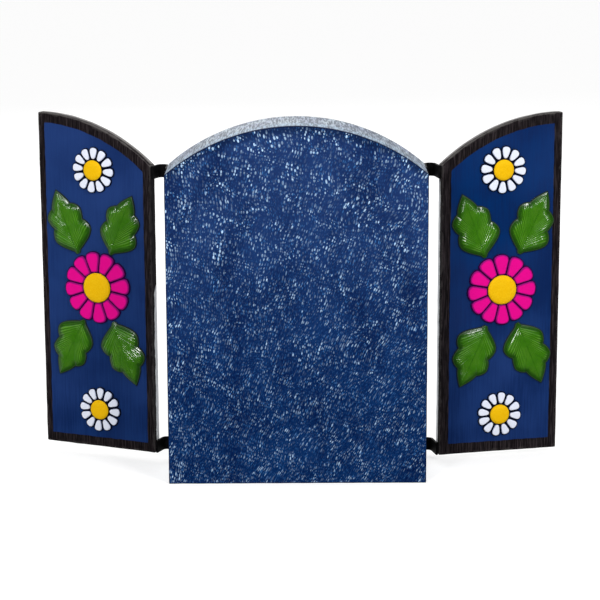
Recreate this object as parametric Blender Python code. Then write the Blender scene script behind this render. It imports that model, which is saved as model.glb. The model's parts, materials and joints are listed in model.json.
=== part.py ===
"""Retablo box: an arched wooden box with two doors on leather straps, shown open.

The box stands on its underside, centred on the origin. Its open side faces -Y, its back +Y, and +Z is up.
Each door turns about an upright line beside the front corner of the box. Moulded paste flowers and leaves
are glued to the doors' outer faces. "Right" and "left" are as seen from the open front: right is +X.
"""

import math
from typing import NamedTuple

import bmesh
import bpy
from mathutils import Vector

# Box
BOX_WIDTH = 0.200
BOX_DEPTH = 0.063
SIDE_HEIGHT = 0.2418
ARCH_RISE = 0.0372
SIDE_THICK = 0.008
BOTTOM_THICK = 0.008
TOP_THICK = 0.006
BACK_THICK = 0.004
GLUE_GAP = 0.0003
BOARD_EDGE = 0.0005

# Doors: each is half of the box's arched outline, cut a little short by hand
DOOR_THICK = 0.0085
DOOR_MEETING_GAP = 0.0009
DOOR_SEAT_GAP = 0.0005
DOOR_EDGE = 0.0008
HINGE_OUT = 0.0062
HINGE_FORWARD = 0.0024

# Leather straps
STRAP_THICK = 0.0018
STRAP_TALL = 0.0106
STRAP_ON_SIDE = 0.012
STRAP_LOOP_RADIUS = 0.0042
STRAP_SHORT_OF_EDGE = 0.0006

# Moulded flowers: one mould of twelve petals, in two sizes
PETALS = 12
ROSETTE_RADIUS = 0.0293
DAISY_RADIUS = 0.0189
ROSETTE_CENTRE_RADIUS = 0.0121
DAISY_CENTRE_RADIUS = 0.0083
PETAL_HEIGHT = 0.0026
PETAL_RIM = 0.0012
GROOVE_FLOOR = 0.0008
CENTRE_HEIGHT = 0.0042
DAISY_FROM_FOOT = 0.0315
DAISY_FROM_TOP = 0.0354
ROSETTE_LIFT = 0.0031
# The mould's form in shares: a groove's width of its petal and its reach, and a petal's shoulders
GROOVE_SHARE = 0.16
GROOVE_REACH = 0.86
SHOULDER_REACH = 0.945
# A petal is full between these shares of its reach, and lower at its root, in shares of the centre's radius
PETAL_FULL_TO = 0.94
PETAL_FULL_FROM = 0.62
PETAL_ROOT_REACH = 1.16
PETAL_ROOT_HEIGHT = 0.70
VALLEY_REACH = 1.04
# The centre's dome from its foot up: shares of its radius and of its height
CENTRE_DOME = ((0.97, 0.72), (0.70, 0.93))

# Moulded leaves: one mould, stretched a little by hand
LEAF_LENGTH = 0.0546
LEAF_RIM = 0.0011
LEAF_CREST = 0.0030
LEAF_MIDRIB = 0.0020
LEAF_SWEEP = math.radians(35)
LEAF_BLUNT_END = 0.003
LEAF_TIP_ROUNDING = 1.4
# Where between the midrib and the edge each lobe is fullest
LEAF_CREST_AT = 0.6
# How full a leaf is at its stem and its tip, and how fast it fills from there
LEAF_STEM_FULLNESS = 0.45
LEAF_STEM_RISE = 4.0
LEAF_TIP_FULLNESS = 0.35
LEAF_TIP_RISE = 2.6
# The dips between its lobes: place along the midrib, width and depth, as shares
LEAF_DIPS = ((0.28, 0.05, 0.30), (0.63, 0.06, 0.35))


class EdgePoint(NamedTuple):
    """A place on a leaf's outline, in shares of its length: how far along, and half its width on each side.

    The outline goes from the point before as a straight, a rise to a lobe's crest, a fall from a crest into
    a notch, or the slow fall to the tip. There are this many stations on the way.
    """

    along: float
    left: float
    right: float
    way: str
    stations: int


class Door(NamedTuple):
    """One door: its side (+1 right, -1 left), the angle it stands open, and how far it is cut short.

    The cuts at its foot, shoulder and peak are shares of the side's height.
    """

    name: str
    side: int
    open_angle: float
    foot_rise: float
    shoulder_drop: float
    peak_drop: float


class Flower(NamedTuple):
    """A flower: its size against the mould, its shift to the free edge as a share of the door's width, and
    how its petals turn.
    """

    name: str
    size: float
    shift: float
    turn: float
    wobble: float


class Leaf(NamedTuple):
    """A leaf: its stem's place from the rosette in leaf lengths, its lean off upright and its stretch."""

    name: str
    across: float
    up: float
    lean: float
    stretch: float


LEAF_OUTLINE = (
    EdgePoint(0.0, 0.030, 0.030, "start", 1),
    EdgePoint(0.045, 0.056, 0.066, "straight", 1),
    EdgePoint(0.31, 0.300, 0.345, "rise", 5),
    EdgePoint(0.46, 0.246, 0.262, "fall", 3),
    EdgePoint(0.61, 0.302, 0.290, "rise", 3),
    EdgePoint(0.745, 0.176, 0.150, "fall", 3),
    EdgePoint(1 - LEAF_BLUNT_END, 0.005, 0.005, "tip", 4),
)
DOORS = (
    Door("right_door", 1, math.radians(156.7), 0.0290, 0.0070, 0.0025),
    Door("left_door", -1, math.radians(167.0), 0.0182, 0.0074, 0.0004),
)
FLOWERS = {
    "right_door": (
        Flower("top_daisy", 0.99, 0.002, math.radians(25), math.radians(45)),
        Flower("rosette", 1.01, -0.011, math.radians(6), 0.0),
        Flower("bottom_daisy", 0.99, -0.009, math.radians(25), math.radians(60)),
    ),
    "left_door": (
        Flower("top_daisy", 1.02, 0.007, math.radians(25), math.radians(-150)),
        Flower("rosette", 0.99, 0.010, math.radians(2), math.radians(-90)),
        Flower("bottom_daisy", 0.99, 0.006, math.radians(22), math.radians(45)),
    ),
}
LEAVES = {
    "right_door": (
        Leaf("upper_outer_leaf", 0.304, 0.485, math.radians(21), 1.00),
        Leaf("upper_inner_leaf", -0.222, 0.507, math.radians(-23), 0.97),
        Leaf("lower_outer_leaf", 0.236, -0.507, math.radians(153), 0.97),
        Leaf("lower_inner_leaf", -0.251, -0.495, math.radians(-159), 1.01),
    ),
    "left_door": (
        Leaf("upper_outer_leaf", 0.253, 0.520, math.radians(25), 1.01),
        Leaf("upper_inner_leaf", -0.260, 0.487, math.radians(-21), 1.02),
        Leaf("lower_outer_leaf", 0.245, -0.513, math.radians(157), 1.02),
        Leaf("lower_inner_leaf", -0.227, -0.529, math.radians(-156), 1.00),
    ),
}

# Worked out from the sizes above
HALF_WIDTH = BOX_WIDTH / 2
FRONT_Y = -BOX_DEPTH / 2
BACK_Y = BOX_DEPTH / 2
BOARDS_BACK_Y = BACK_Y - BACK_THICK - GLUE_GAP
DOOR_WIDTH = HALF_WIDTH - DOOR_MEETING_GAP / 2
DOOR_INNER_Y = HINGE_FORWARD - DOOR_SEAT_GAP
DOOR_OUTER_Y = DOOR_INNER_Y - DOOR_THICK
HINGE_X = HALF_WIDTH + HINGE_OUT
HINGE_Y = FRONT_Y - HINGE_FORWARD

ARC_STEPS = 20
LOOP_STEPS = 10
MOST_WOBBLE = math.radians(2.5)


def clear_scene():
    for thing in list(bpy.data.objects):
        bpy.data.objects.remove(thing, do_unlink=True)


def make_material(name, colour, roughness, metallic=0.0):
    material = bpy.data.materials.new(name)
    material.use_nodes = True
    shader = material.node_tree.nodes["Principled BSDF"]
    shader.inputs["Base Color"].default_value = (*colour, 1.0)
    shader.inputs["Roughness"].default_value = roughness
    shader.inputs["Metallic"].default_value = metallic
    return material


def add_object(name, mesh, material):
    mesh.materials.append(material)
    thing = bpy.data.objects.new(name, mesh)
    bpy.context.scene.collection.objects.link(thing)
    return thing


def mesh_from(name, points, faces):
    """A mesh of these points and faces, with its faces turned outwards."""
    form = bmesh.new()
    corners = [form.verts.new(point) for point in points]
    for face in faces:
        form.faces.new([corners[index] for index in face])
    bmesh.ops.recalc_face_normals(form, faces=form.faces[:])
    mesh = bpy.data.meshes.new(name)
    form.to_mesh(mesh)
    form.free()
    return mesh


def prism(name, outline, place):
    """A closed prism. place(a, b, end) puts a point of the outline on its end 0 or its end 1."""
    count = len(outline)
    points = [place(a, b, 0) for a, b in outline] + [place(a, b, 1) for a, b in outline]
    sides = [(i, (i + 1) % count, count + (i + 1) % count, count + i) for i in range(count)]
    ends = [tuple(range(count)), tuple(range(2 * count - 1, count - 1, -1))]
    return mesh_from(name, points, sides + ends)


def soften_edges(thing, width):
    bevel = thing.modifiers.new("soft edges", "BEVEL")
    bevel.width = width
    bevel.segments = 1


def add_board(name, outline, low_y, high_y, material):
    """A board cut to an outline in X and Z, from low_y to high_y."""
    mesh = prism(name, outline, lambda x, z, end: (x, high_y if end else low_y, z))
    board = add_object(name, mesh, material)
    soften_edges(board, BOARD_EDGE)
    return board


def arc_radius(half_width, rise):
    return (half_width**2 + rise**2) / (2 * rise)


def arc_height(x, half_width, shoulder, rise):
    """The height at x of an arc over the middle line x = 0 that is at shoulder where x = half_width."""
    radius = arc_radius(half_width, rise)
    return shoulder + rise - radius + math.sqrt(radius**2 - x**2)


def underside_height(x):
    """The height of the arched top's underside."""
    radius = arc_radius(HALF_WIDTH, ARCH_RISE)
    return SIDE_HEIGHT + ARCH_RISE - radius + math.sqrt((radius - TOP_THICK) ** 2 - x**2)


def spread(low, high, steps):
    return [low + (high - low) * step / steps for step in range(steps + 1)]


def add_box(blue, gesso):
    """The box's five pieces: back panel, two sides, bottom and arched top. Its front is open."""
    top_arc = [
        (x, arc_height(x, HALF_WIDTH, SIDE_HEIGHT, ARCH_RISE))
        for x in spread(HALF_WIDTH, -HALF_WIDTH, ARC_STEPS)
    ]
    back = [(-HALF_WIDTH, 0.0), (HALF_WIDTH, 0.0), *top_arc]
    add_board("back_panel", back, BACK_Y - BACK_THICK, BACK_Y, blue)

    underside = [(x, underside_height(x)) for x in spread(-HALF_WIDTH, HALF_WIDTH, ARC_STEPS)]
    add_board("arched_top", top_arc + underside, FRONT_Y, BOARDS_BACK_Y, gesso)

    inner = HALF_WIDTH - SIDE_THICK
    for name, side in (("right_side_board", 1), ("left_side_board", -1)):
        outline = [
            (side * inner, 0.0),
            (side * HALF_WIDTH, 0.0),
            (side * HALF_WIDTH, underside_height(HALF_WIDTH) - GLUE_GAP),
            (side * inner, underside_height(inner) - GLUE_GAP),
        ]
        add_board(name, outline, FRONT_Y, BOARDS_BACK_Y, gesso)

    reach = inner - GLUE_GAP
    floor = [(-reach, 0.0), (reach, 0.0), (reach, BOTTOM_THICK), (-reach, BOTTOM_THICK)]
    add_board("bottom_board", floor, FRONT_Y, BOARDS_BACK_Y, gesso)


def door_height(door, shift=0.0):
    """The height over the floor of a door's top, this far from the middle line of the closed box."""
    shoulder = (1 - door.shoulder_drop) * SIDE_HEIGHT
    rise = (1 - door.peak_drop) * SIDE_HEIGHT + ARCH_RISE - shoulder
    return arc_height(shift, HALF_WIDTH, shoulder, rise)


def add_door(door, navy):
    """A door as it lies when closed, about its hinge line, then turned open."""
    seam = HALF_WIDTH - DOOR_WIDTH
    top = [(shift, door_height(door, shift)) for shift in spread(seam, HALF_WIDTH, ARC_STEPS // 2)]
    foot = door.foot_rise * SIDE_HEIGHT
    outline = [(HALF_WIDTH, foot), (seam, foot), *top]

    def place(shift, height, end):
        return door.side * (shift - HINGE_X), DOOR_INNER_Y if end else DOOR_OUTER_Y, height

    leaf = add_object(door.name, prism(door.name, outline, place), navy)
    leaf.location = (door.side * HINGE_X, HINGE_Y, 0.0)
    leaf.rotation_euler = (0.0, 0.0, door.side * door.open_angle)
    soften_edges(leaf, DOOR_EDGE)
    return leaf


def stick_on(ornament, board, door, from_hinge, height, lean):
    """Glue an ornament on a door's outer face. It is made in X and Y, with its face towards +Z.

    A lean above zero turns its top towards the viewer's right, seen from outside on either door.
    """
    ornament.parent = board
    across = -door.side * (HINGE_OUT + from_hinge)
    ornament.location = (across, DOOR_OUTER_Y - GLUE_GAP, height)
    ornament.rotation_euler = (math.pi / 2, -door.side * lean, 0.0)


def petal_angle(number, turn, wobble):
    """The angle of a petal's middle. The wobble is the slow unevenness of a mould cut by hand."""
    even = 2 * math.pi * number / PETALS
    return turn + even + MOST_WOBBLE * math.sin(even + wobble)


def flower_mesh(name, radius, centre_radius, turn, wobble):
    """A disc of petals round a domed centre.

    Each petal has four samples: the groove before it, a shoulder, its middle and a shoulder. The rings go
    from the underside's rim over the petals and down into the valley round the centre, then over its dome.
    """
    inner = centre_radius / radius
    samples = []
    for number in range(PETALS):
        start = petal_angle(number - 1, turn, wobble)
        middle = petal_angle(number, turn, wobble)
        stop = petal_angle(number + 1, turn, wobble)
        groove = (start + middle) / 2
        samples.append((groove, GROOVE_REACH, GROOVE_FLOOR))
        samples.append((groove + GROOVE_SHARE * (middle - start), SHOULDER_REACH, PETAL_HEIGHT))
        samples.append((middle, 1.0, PETAL_HEIGHT))
        samples.append((middle + (0.5 - GROOVE_SHARE) * (stop - middle), SHOULDER_REACH, PETAL_HEIGHT))

    def petal_ring(share, height_share):
        """A ring across the petals, at this share of their reach and of their height."""
        ring = []
        for angle, out, height in samples:
            low = min(height, PETAL_RIM)
            ring.append((angle, share * out * radius, low + height_share * (height - low)))
        return ring

    def plain_ring(share, height):
        return [(angle, share * radius, height) for angle, _, _ in samples]

    rings = [
        [(angle, out * radius, 0.0) for angle, out, _ in samples],
        petal_ring(1.0, 0.0),
        petal_ring(PETAL_FULL_TO, 1.0),
        petal_ring(PETAL_FULL_FROM, 1.0),
        petal_ring(PETAL_ROOT_REACH * inner, PETAL_ROOT_HEIGHT),
        plain_ring(VALLEY_REACH * inner, GROOVE_FLOOR),
    ]
    rings += [plain_ring(share * inner, height * CENTRE_HEIGHT) for share, height in CENTRE_DOME]
    points = [(r * math.cos(a), r * math.sin(a), z) for ring in rings for a, r, z in ring]
    points.append((0.0, 0.0, CENTRE_HEIGHT))
    count = len(samples)
    faces = [tuple(range(count))]
    for lower in range(len(rings) - 1):
        for i in range(count):
            after = (i + 1) % count
            base = lower * count
            faces.append((base + i, base + after, base + count + after, base + count + i))
    last = (len(rings) - 1) * count
    faces += [(last + i, last + (i + 1) % count, len(points) - 1) for i in range(count)]
    return mesh_from(name, points, faces)


def leaf_stations():
    """The leaf's outline from its stem to its tip: (along, left, right), in shares of its length.

    A lobe swells like a quarter wave out of its notch, and the notches between lobes are sharp.
    """
    stations = [LEAF_OUTLINE[0][:3]]
    for before, point in zip(LEAF_OUTLINE, LEAF_OUTLINE[1:]):
        for step in range(1, point.stations + 1):
            share = step / point.stations
            ease = {
                "straight": share,
                "rise": math.sin(math.pi / 2 * share),
                "fall": 1 - math.sin(math.pi / 2 * (1 - share)),
                "tip": share**LEAF_TIP_ROUNDING,
            }[point.way]
            along = before.along + share * (point.along - before.along)
            left = before.left + ease * (point.left - before.left)
            right = before.right + ease * (point.right - before.right)
            stations.append((along, left, right))
    return stations


def leaf_swelling(root):
    """How full the leaf is along the vein that leaves the midrib at this share of its length."""
    stem = LEAF_STEM_FULLNESS + LEAF_STEM_RISE * max(root, 0.0)
    tip = LEAF_TIP_FULLNESS + LEAF_TIP_RISE * (1 - root)
    fullness = min(1.0, stem, tip)
    for middle, width, depth in LEAF_DIPS:
        fullness *= 1 - depth * math.exp(-(((root - middle) / width) ** 2))
    return fullness


def leaf_mesh(name, length):
    """A leaf from its stem at the origin to its tip on +Y, with swept lobes on both sides."""
    points = []
    stations = leaf_stations()
    for share, left_share, right_share in stations:
        left = -left_share * length
        right = right_share * length
        y = share * length
        station = [(left, y, 0.0), (left, y, LEAF_RIM)]
        ridges = ((LEAF_CREST_AT * left, LEAF_CREST), (0.0, LEAF_MIDRIB), (LEAF_CREST_AT * right, LEAF_CREST))
        for x, full in ridges:
            root = share - abs(x) / length * math.tan(LEAF_SWEEP)
            station.append((x, y, LEAF_RIM + (full - LEAF_RIM) * leaf_swelling(root)))
        station += [(right, y, LEAF_RIM), (right, y, 0.0)]
        points += station
    around = len(station)
    faces = [tuple(range(around)), tuple(range(len(points) - 1, len(points) - 1 - around, -1))]
    for number in range(len(stations) - 1):
        base = number * around
        for i in range(around):
            after = (i + 1) % around
            faces.append((base + i, base + after, base + around + after, base + around + i))
    return mesh_from(name, points, faces)


def strap_line(door):
    """A strap's middle line in plan, on the right: along the side board, a loop, then the door's edge."""
    offset = GLUE_GAP + STRAP_THICK / 2
    turn = door.open_angle
    cosine, sine = math.cos(turn), math.sin(turn)

    def on_door(from_hinge, closed_y):
        """A point of the closed door, turned open about the hinge line."""
        x = -HINGE_OUT - from_hinge
        return Vector((HINGE_X + cosine * x - sine * closed_y, HINGE_Y + sine * x + cosine * closed_y))

    wall_x = HALF_WIDTH + offset
    edge_end = on_door(-offset, DOOR_OUTER_Y + STRAP_SHORT_OF_EDGE)
    edge_start = on_door(-offset, DOOR_INNER_Y)
    along = (edge_start - edge_end).normalized()
    outward = Vector((-along.y, along.x))
    if outward.x > 0:
        outward = -outward
    # The loop's middle lies one radius off both straight runs.
    centre_x = wall_x + STRAP_LOOP_RADIUS
    slide = (centre_x - edge_start.x - STRAP_LOOP_RADIUS * outward.x) / along.x
    centre = edge_start + slide * along + STRAP_LOOP_RADIUS * outward
    first = math.pi
    last = math.atan2(-outward.y, -outward.x)
    last += 2 * math.pi if last < first else 0.0
    loop = [
        centre + STRAP_LOOP_RADIUS * Vector((math.cos(angle), math.sin(angle)))
        for angle in spread(first, last, LOOP_STEPS)
    ]
    return [Vector((wall_x, FRONT_Y + STRAP_ON_SIDE)), *loop, edge_end]


def band_outline(line, thickness):
    """The outline of a band of this thickness that follows a line."""
    left, right = [], []
    for i, point in enumerate(line):
        before = line[max(i - 1, 0)]
        after = line[min(i + 1, len(line) - 1)]
        heading = (after - before).normalized()
        normal = Vector((-heading.y, heading.x)) * thickness / 2
        left.append(point + normal)
        right.append(point - normal)
    return left + right[::-1]


def add_straps(door, leather):
    """Two straps whose ends are flush with the door's shoulder and with its foot."""
    outline = band_outline(strap_line(door), STRAP_THICK)
    heights = {
        "top_strap": min(SIDE_HEIGHT, door_height(door, HALF_WIDTH)) - STRAP_TALL,
        "bottom_strap": door.foot_rise * SIDE_HEIGHT,
    }
    for name, low in heights.items():
        full_name = f"{door.name}_{name}"
        mesh = prism(
            full_name, outline, lambda x, y, end, low=low: (door.side * x, y, low + STRAP_TALL * end)
        )
        add_object(full_name, mesh, leather)


def add_flowers(door, board, white, magenta):
    top_line = door_height(door, HALF_WIDTH - DOOR_WIDTH / 2)
    low = door.foot_rise * SIDE_HEIGHT + DAISY_FROM_FOOT
    high = top_line - DAISY_FROM_TOP
    heights = {"top_daisy": high, "rosette": (low + high) / 2 + ROSETTE_LIFT, "bottom_daisy": low}
    for flower in FLOWERS[door.name]:
        rosette = flower.name == "rosette"
        radius = flower.size * (ROSETTE_RADIUS if rosette else DAISY_RADIUS)
        centre = ROSETTE_CENTRE_RADIUS if rosette else DAISY_CENTRE_RADIUS
        name = f"{door.name}_{flower.name}"
        mesh = flower_mesh(name, radius, centre, flower.turn, flower.wobble)
        thing = add_object(name, mesh, magenta if rosette else white)
        stick_on(thing, board, door, (0.5 + flower.shift) * DOOR_WIDTH, heights[flower.name], 0.0)
    return heights["rosette"]


def add_leaves(door, board, rosette_height, green):
    rosette = next(flower for flower in FLOWERS[door.name] if flower.name == "rosette")
    middle = (0.5 + rosette.shift) * DOOR_WIDTH
    for leaf in LEAVES[door.name]:
        name = f"{door.name}_{leaf.name}"
        thing = add_object(name, leaf_mesh(name, LEAF_LENGTH * leaf.stretch), green)
        across = middle + leaf.across * LEAF_LENGTH
        stick_on(thing, board, door, across, rosette_height + leaf.up * LEAF_LENGTH, leaf.lean)


def main():
    clear_scene()
    blue = make_material("royal blue paint", (0.010, 0.035, 0.145), 0.5)
    gesso = make_material("brushed white paint", (0.62, 0.66, 0.70), 0.6)
    navy = make_material("navy paint", (0.012, 0.030, 0.130), 0.45)
    leather = make_material("black leather", (0.012, 0.011, 0.011), 0.55)
    white = make_material("white petal paint", (0.78, 0.80, 0.88), 0.45)
    magenta = make_material("magenta petal paint", (0.90, 0.002, 0.28), 0.45)
    green = make_material("green leaf paint", (0.045, 0.20, 0.004), 0.3)
    add_box(blue, gesso)
    for door in DOORS:
        board = add_door(door, navy)
        add_straps(door, leather)
        rosette_height = add_flowers(door, board, white, magenta)
        add_leaves(door, board, rosette_height, green)


main()
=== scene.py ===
"""Looks of a retablo box: painted boards, leather straps, and moulded paste flowers and leaves.

A Blender script laid out as an add-on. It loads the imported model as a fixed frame, takes every place, size
and angle of the boards and ornaments from it, and dresses each node with a finer piece. Metres, +Z up.

The box's open side faces -Y and its back +Y. A door is worked out closed, on the right side, in the plane of
the box's front, and is then turned open and, on the left side, mirrored. A board's flat coordinates are its
own before it is bent: x across, y through its thickness or depth, z up.
"""

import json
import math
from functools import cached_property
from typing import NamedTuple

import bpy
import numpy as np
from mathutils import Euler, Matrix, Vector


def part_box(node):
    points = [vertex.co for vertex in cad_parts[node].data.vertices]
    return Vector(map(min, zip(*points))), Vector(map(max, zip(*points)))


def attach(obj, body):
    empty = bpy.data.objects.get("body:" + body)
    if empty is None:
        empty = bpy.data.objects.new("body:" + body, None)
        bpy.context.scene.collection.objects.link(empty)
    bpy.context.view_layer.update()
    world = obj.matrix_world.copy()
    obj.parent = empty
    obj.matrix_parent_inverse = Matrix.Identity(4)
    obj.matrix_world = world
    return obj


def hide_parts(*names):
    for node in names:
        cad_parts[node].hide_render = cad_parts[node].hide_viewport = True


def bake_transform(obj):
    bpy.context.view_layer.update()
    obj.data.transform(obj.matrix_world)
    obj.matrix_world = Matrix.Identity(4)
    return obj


bl_info = {
    "name": "Retablo Box",
    "version": (1, 0, 0),
    "blender": (4, 5, 0),
    "location": "View3D > Sidebar > Retablo Box",
    "description": "Dresses a packed retablo box with painted wood, leather straps and paste flowers",
    "category": "Add Mesh",
}

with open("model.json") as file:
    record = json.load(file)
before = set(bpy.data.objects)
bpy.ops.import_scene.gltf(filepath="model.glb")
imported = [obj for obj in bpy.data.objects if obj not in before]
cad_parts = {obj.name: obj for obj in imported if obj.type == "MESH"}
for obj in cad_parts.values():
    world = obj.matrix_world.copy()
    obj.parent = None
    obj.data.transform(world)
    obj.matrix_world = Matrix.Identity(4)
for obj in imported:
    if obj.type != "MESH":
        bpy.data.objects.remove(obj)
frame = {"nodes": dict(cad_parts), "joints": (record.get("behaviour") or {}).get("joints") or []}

MM = 0.001
WHITE = (1.0, 1.0, 1.0, 1.0)

# Grid fineness: steps round an edge, where its flat side starts in roundings, other steps and counts, and how
# far a grid crowds to its ends
ROUND_STEPS = 3
SUPPORT_LOOP = 1.5
BOARD_STEP = 2.5 * MM
STRAP_STEP = 0.5 * MM
LOOP_POINTS = 40
OUTLINE_TRIALS = 60
PETAL_RINGS_CROWDED = 0.1
LEAF_ROWS_CROWDED = 0.6
LEAF_COLUMNS_CROWDED = 0.4

# Reading corners: how far from a board's faces and sides its arched edge starts, how close to a flower's foot
# or a leaf's tip a corner counts as there, and which shares of its reach end a petal or a leaf's stem
OFF_FACES = 0.3 * MM
OFF_SIDES = 2 * MM
NEAR_FOOT = 0.2 * MM
NEAR_TIP = 0.5 * MM
PETAL_END_SHARE = 0.97
STEM_SHARE = 0.02

# Uneven places: how many waves make them, their size in worn edges and flower centres, and a lump's depth
WAVES = 9
DENT_SIZE = 14 * MM
LUMP_SIZE = 2.2 * MM
LUMP_DEPTH = 0.05 * MM

# A door's edges: within the first of these they start and within the second they are full. The hinge edge's
# dark part fades in from this far below the height where it turns black to this far above
EDGE_FROM = 1.2 * MM
EDGE_FULL = 0.5 * MM
DARK_FADE_BELOW = 15 * MM
DARK_FADE_ABOVE = 5 * MM

# How far out from the box's side a strap starts and ends bending
BEND_START = 2 * MM
BEND_END = 9 * MM


class Door(NamedTuple):
    """A door's hinge line and how far the door stands open, for the right side."""

    name: str
    side: int
    hinge_x: float
    hinge_y: float
    open_angle: float


class Arc(NamedTuple):
    """An upright circle in X and Z with its middle on x = 0."""

    middle_z: float
    radius: float

    def height(self, x):
        """How high the upper half is at x: the root of radius² - x², above the middle."""
        return self.middle_z + np.sqrt(self.radius**2 - np.square(x))


# Reading the frame


def node_points(name):
    """The corners of a CAD node, as an (n, 3) array."""
    vertices = frame["nodes"][name].data.vertices
    flat = np.empty(3 * len(vertices), np.float32)
    vertices.foreach_get("co", flat)
    return flat.reshape(-1, 3).astype(float)


def doors_of_the_frame():
    """Each hinge's lower limit is its closed door, so the door stands open by that much at rest."""
    doors = []
    for joint in frame["joints"]:
        x, y, _ = joint["pos_m"]
        open_angle = math.radians(-joint["range_deg"][0])
        doors.append(Door(joint["child"], 1 if x > 0 else -1, abs(x), y, open_angle))
    return doors


def swung(x, y, angle):
    """Places turned about the origin."""
    cosine, sine = math.cos(angle), math.sin(angle)
    return cosine * x - sine * y, sine * x + cosine * y


def opened(points, door):
    """Points of the closed right door, turned open about the hinge line and mirrored for the left side."""
    x, y = swung(points[:, 0] - door.hinge_x, points[:, 1] - door.hinge_y, door.open_angle)
    return np.stack([door.side * (door.hinge_x + x), door.hinge_y + y, points[:, 2]], 1)


def closed(points, door):
    """The reverse of opened."""
    x, y = swung(door.side * points[:, 0] - door.hinge_x, points[:, 1] - door.hinge_y, -door.open_angle)
    return np.stack([door.hinge_x + x, door.hinge_y + y, points[:, 2]], 1)


def arc_through(x, z):
    """The circle with its middle on x = 0 that fits these points best: x² + z² = 2·middle·z + rest."""
    grid = np.stack([2 * z, np.ones_like(z)], 1)
    middle, rest = np.linalg.lstsq(grid, x**2 + z**2, rcond=None)[0]
    return Arc(middle, math.sqrt(rest + middle**2))


def top_arc(points):
    """The arc of a board's arched top, from its corners between both faces, high up and off the sides."""
    low, high = points.min(0), points.max(0)
    x, y, z = points.T
    inside = (y > low[1] + OFF_FACES) & (y < high[1] - OFF_FACES) & (z > (low[2] + high[2]) / 2)
    inside &= (x > low[0] + OFF_SIDES) & (x < high[0] - OFF_SIDES)
    return arc_through(x[inside], z[inside])


# Surfaces worked out on grids


def soft_field(points, size, seed):
    """A smooth uneven field of about -1 to 1: the mean of waves this long, in seeded directions."""
    draw = np.random.default_rng(seed)
    directions = draw.normal(size=(WAVES, points.shape[1]))
    directions /= np.linalg.norm(directions, axis=1, keepdims=True)
    lengths = size * draw.uniform(0.7, 1.6, WAVES)
    phases = points @ (2 * math.pi * directions / lengths[:, None]).T + draw.uniform(0, 2 * math.pi, WAVES)
    return np.sin(phases).mean(1) * 1.5


def axis_samples(low, high, rounding, step):
    """Places along one side of a box: even angles where its edges round, and even steps between."""
    turn = rounding * (1 - np.tan(np.linspace(math.pi / 4, 0, ROUND_STEPS + 1)))
    start, stop = low + SUPPORT_LOOP * rounding, high - SUPPORT_LOOP * rounding
    middle = np.linspace(start, stop, max(2, math.ceil((stop - start) / step)) + 1)
    return np.concatenate([low + turn, middle, (high - turn)[::-1]])


class Surface(NamedTuple):
    """Points (n, 3), faces as lists of corners, and values that the materials read, one for each point."""

    points: np.ndarray
    faces: list
    values: dict


def quads(grid):
    """The squares of a grid of corner numbers, as an (n, 4) array."""
    return np.stack([grid[:-1, :-1], grid[1:, :-1], grid[1:, 1:], grid[:-1, 1:]], -1).reshape(-1, 4)


def fan(middle, first, second):
    """Triangles from one corner to a ring of corners and their neighbours."""
    return np.stack([np.full(len(first), middle), first, second], -1).tolist()


def mirrored(faces, side):
    """A right-side surface's faces, turned over where it is mirrored to the left side."""
    return faces if side > 0 else [face[::-1] for face in faces]


def rounded_box(low, high, rounding, step, dent, seed):
    """A box with worn, rounded edges as one closed grid in flat coordinates.

    A point of the sharp box goes to the nearest point of the box that is smaller by the rounding, then out
    again by the rounding less a shallow uneven dent, which is deepest at the edges.
    """
    low, high = np.asarray(low, float), np.asarray(high, float)
    axes = [axis_samples(low[i], high[i], rounding, step) for i in range(3)]
    counts = [len(places) for places in axes]
    outer = np.zeros(counts, bool)
    outer[[0, -1]] = outer[:, [0, -1]] = outer[:, :, [0, -1]] = True
    lattice = np.full(counts, -1)
    lattice[outer] = np.arange(outer.sum())
    sharp = np.stack(np.meshgrid(*axes, indexing="ij"), -1)[outer]

    faces = []
    for axis in range(3):
        for end in (0, -1):
            sheet = quads(np.take(lattice, end, axis))
            outwards = (end == -1) != (axis == 1)
            faces += (sheet if outwards else sheet[:, ::-1]).tolist()

    to_faces = np.sort(np.minimum(sharp - low, high - sharp), axis=1)
    to_edge = to_faces[:, 1]
    core = np.clip(sharp, low + rounding, high - rounding)
    away = sharp - core
    away /= np.linalg.norm(away, axis=1, keepdims=True)
    near_edge = np.exp(-to_edge / (2 * rounding))
    unevenness = 0.5 + 0.5 * np.clip(soft_field(sharp, DENT_SIZE, seed), -1, 1)
    depth = dent * unevenness * (0.25 + 0.75 * near_edge)
    points = core + (rounding - depth)[:, None] * away
    return Surface(points, faces, {"flat": sharp, "to_edge": to_edge})


def make_piece(name, surface, material, body, *, blended=None):
    """A smooth piece that stands for the CAD node of this name and rides on a body, or, when blended, on
    none.
    """
    mesh = bpy.data.meshes.new(name)
    mesh.from_pydata(surface.points.tolist(), [], surface.faces)
    mesh.shade_smooth()
    for key, values in surface.values.items():
        is_vector = values.ndim == 2
        attribute = mesh.attributes.new(key, "FLOAT_VECTOR" if is_vector else "FLOAT", "POINT")
        attribute.data.foreach_set("vector" if is_vector else "value", values.astype(np.float32).ravel())
    mesh.materials.append(material)
    piece = bpy.data.objects.new(f"{name}_finish", mesh)
    bpy.context.scene.collection.objects.link(piece)
    if blended:
        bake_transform(piece)
    else:
        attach(piece, body)
    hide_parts(name)


# Shader helpers


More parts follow.
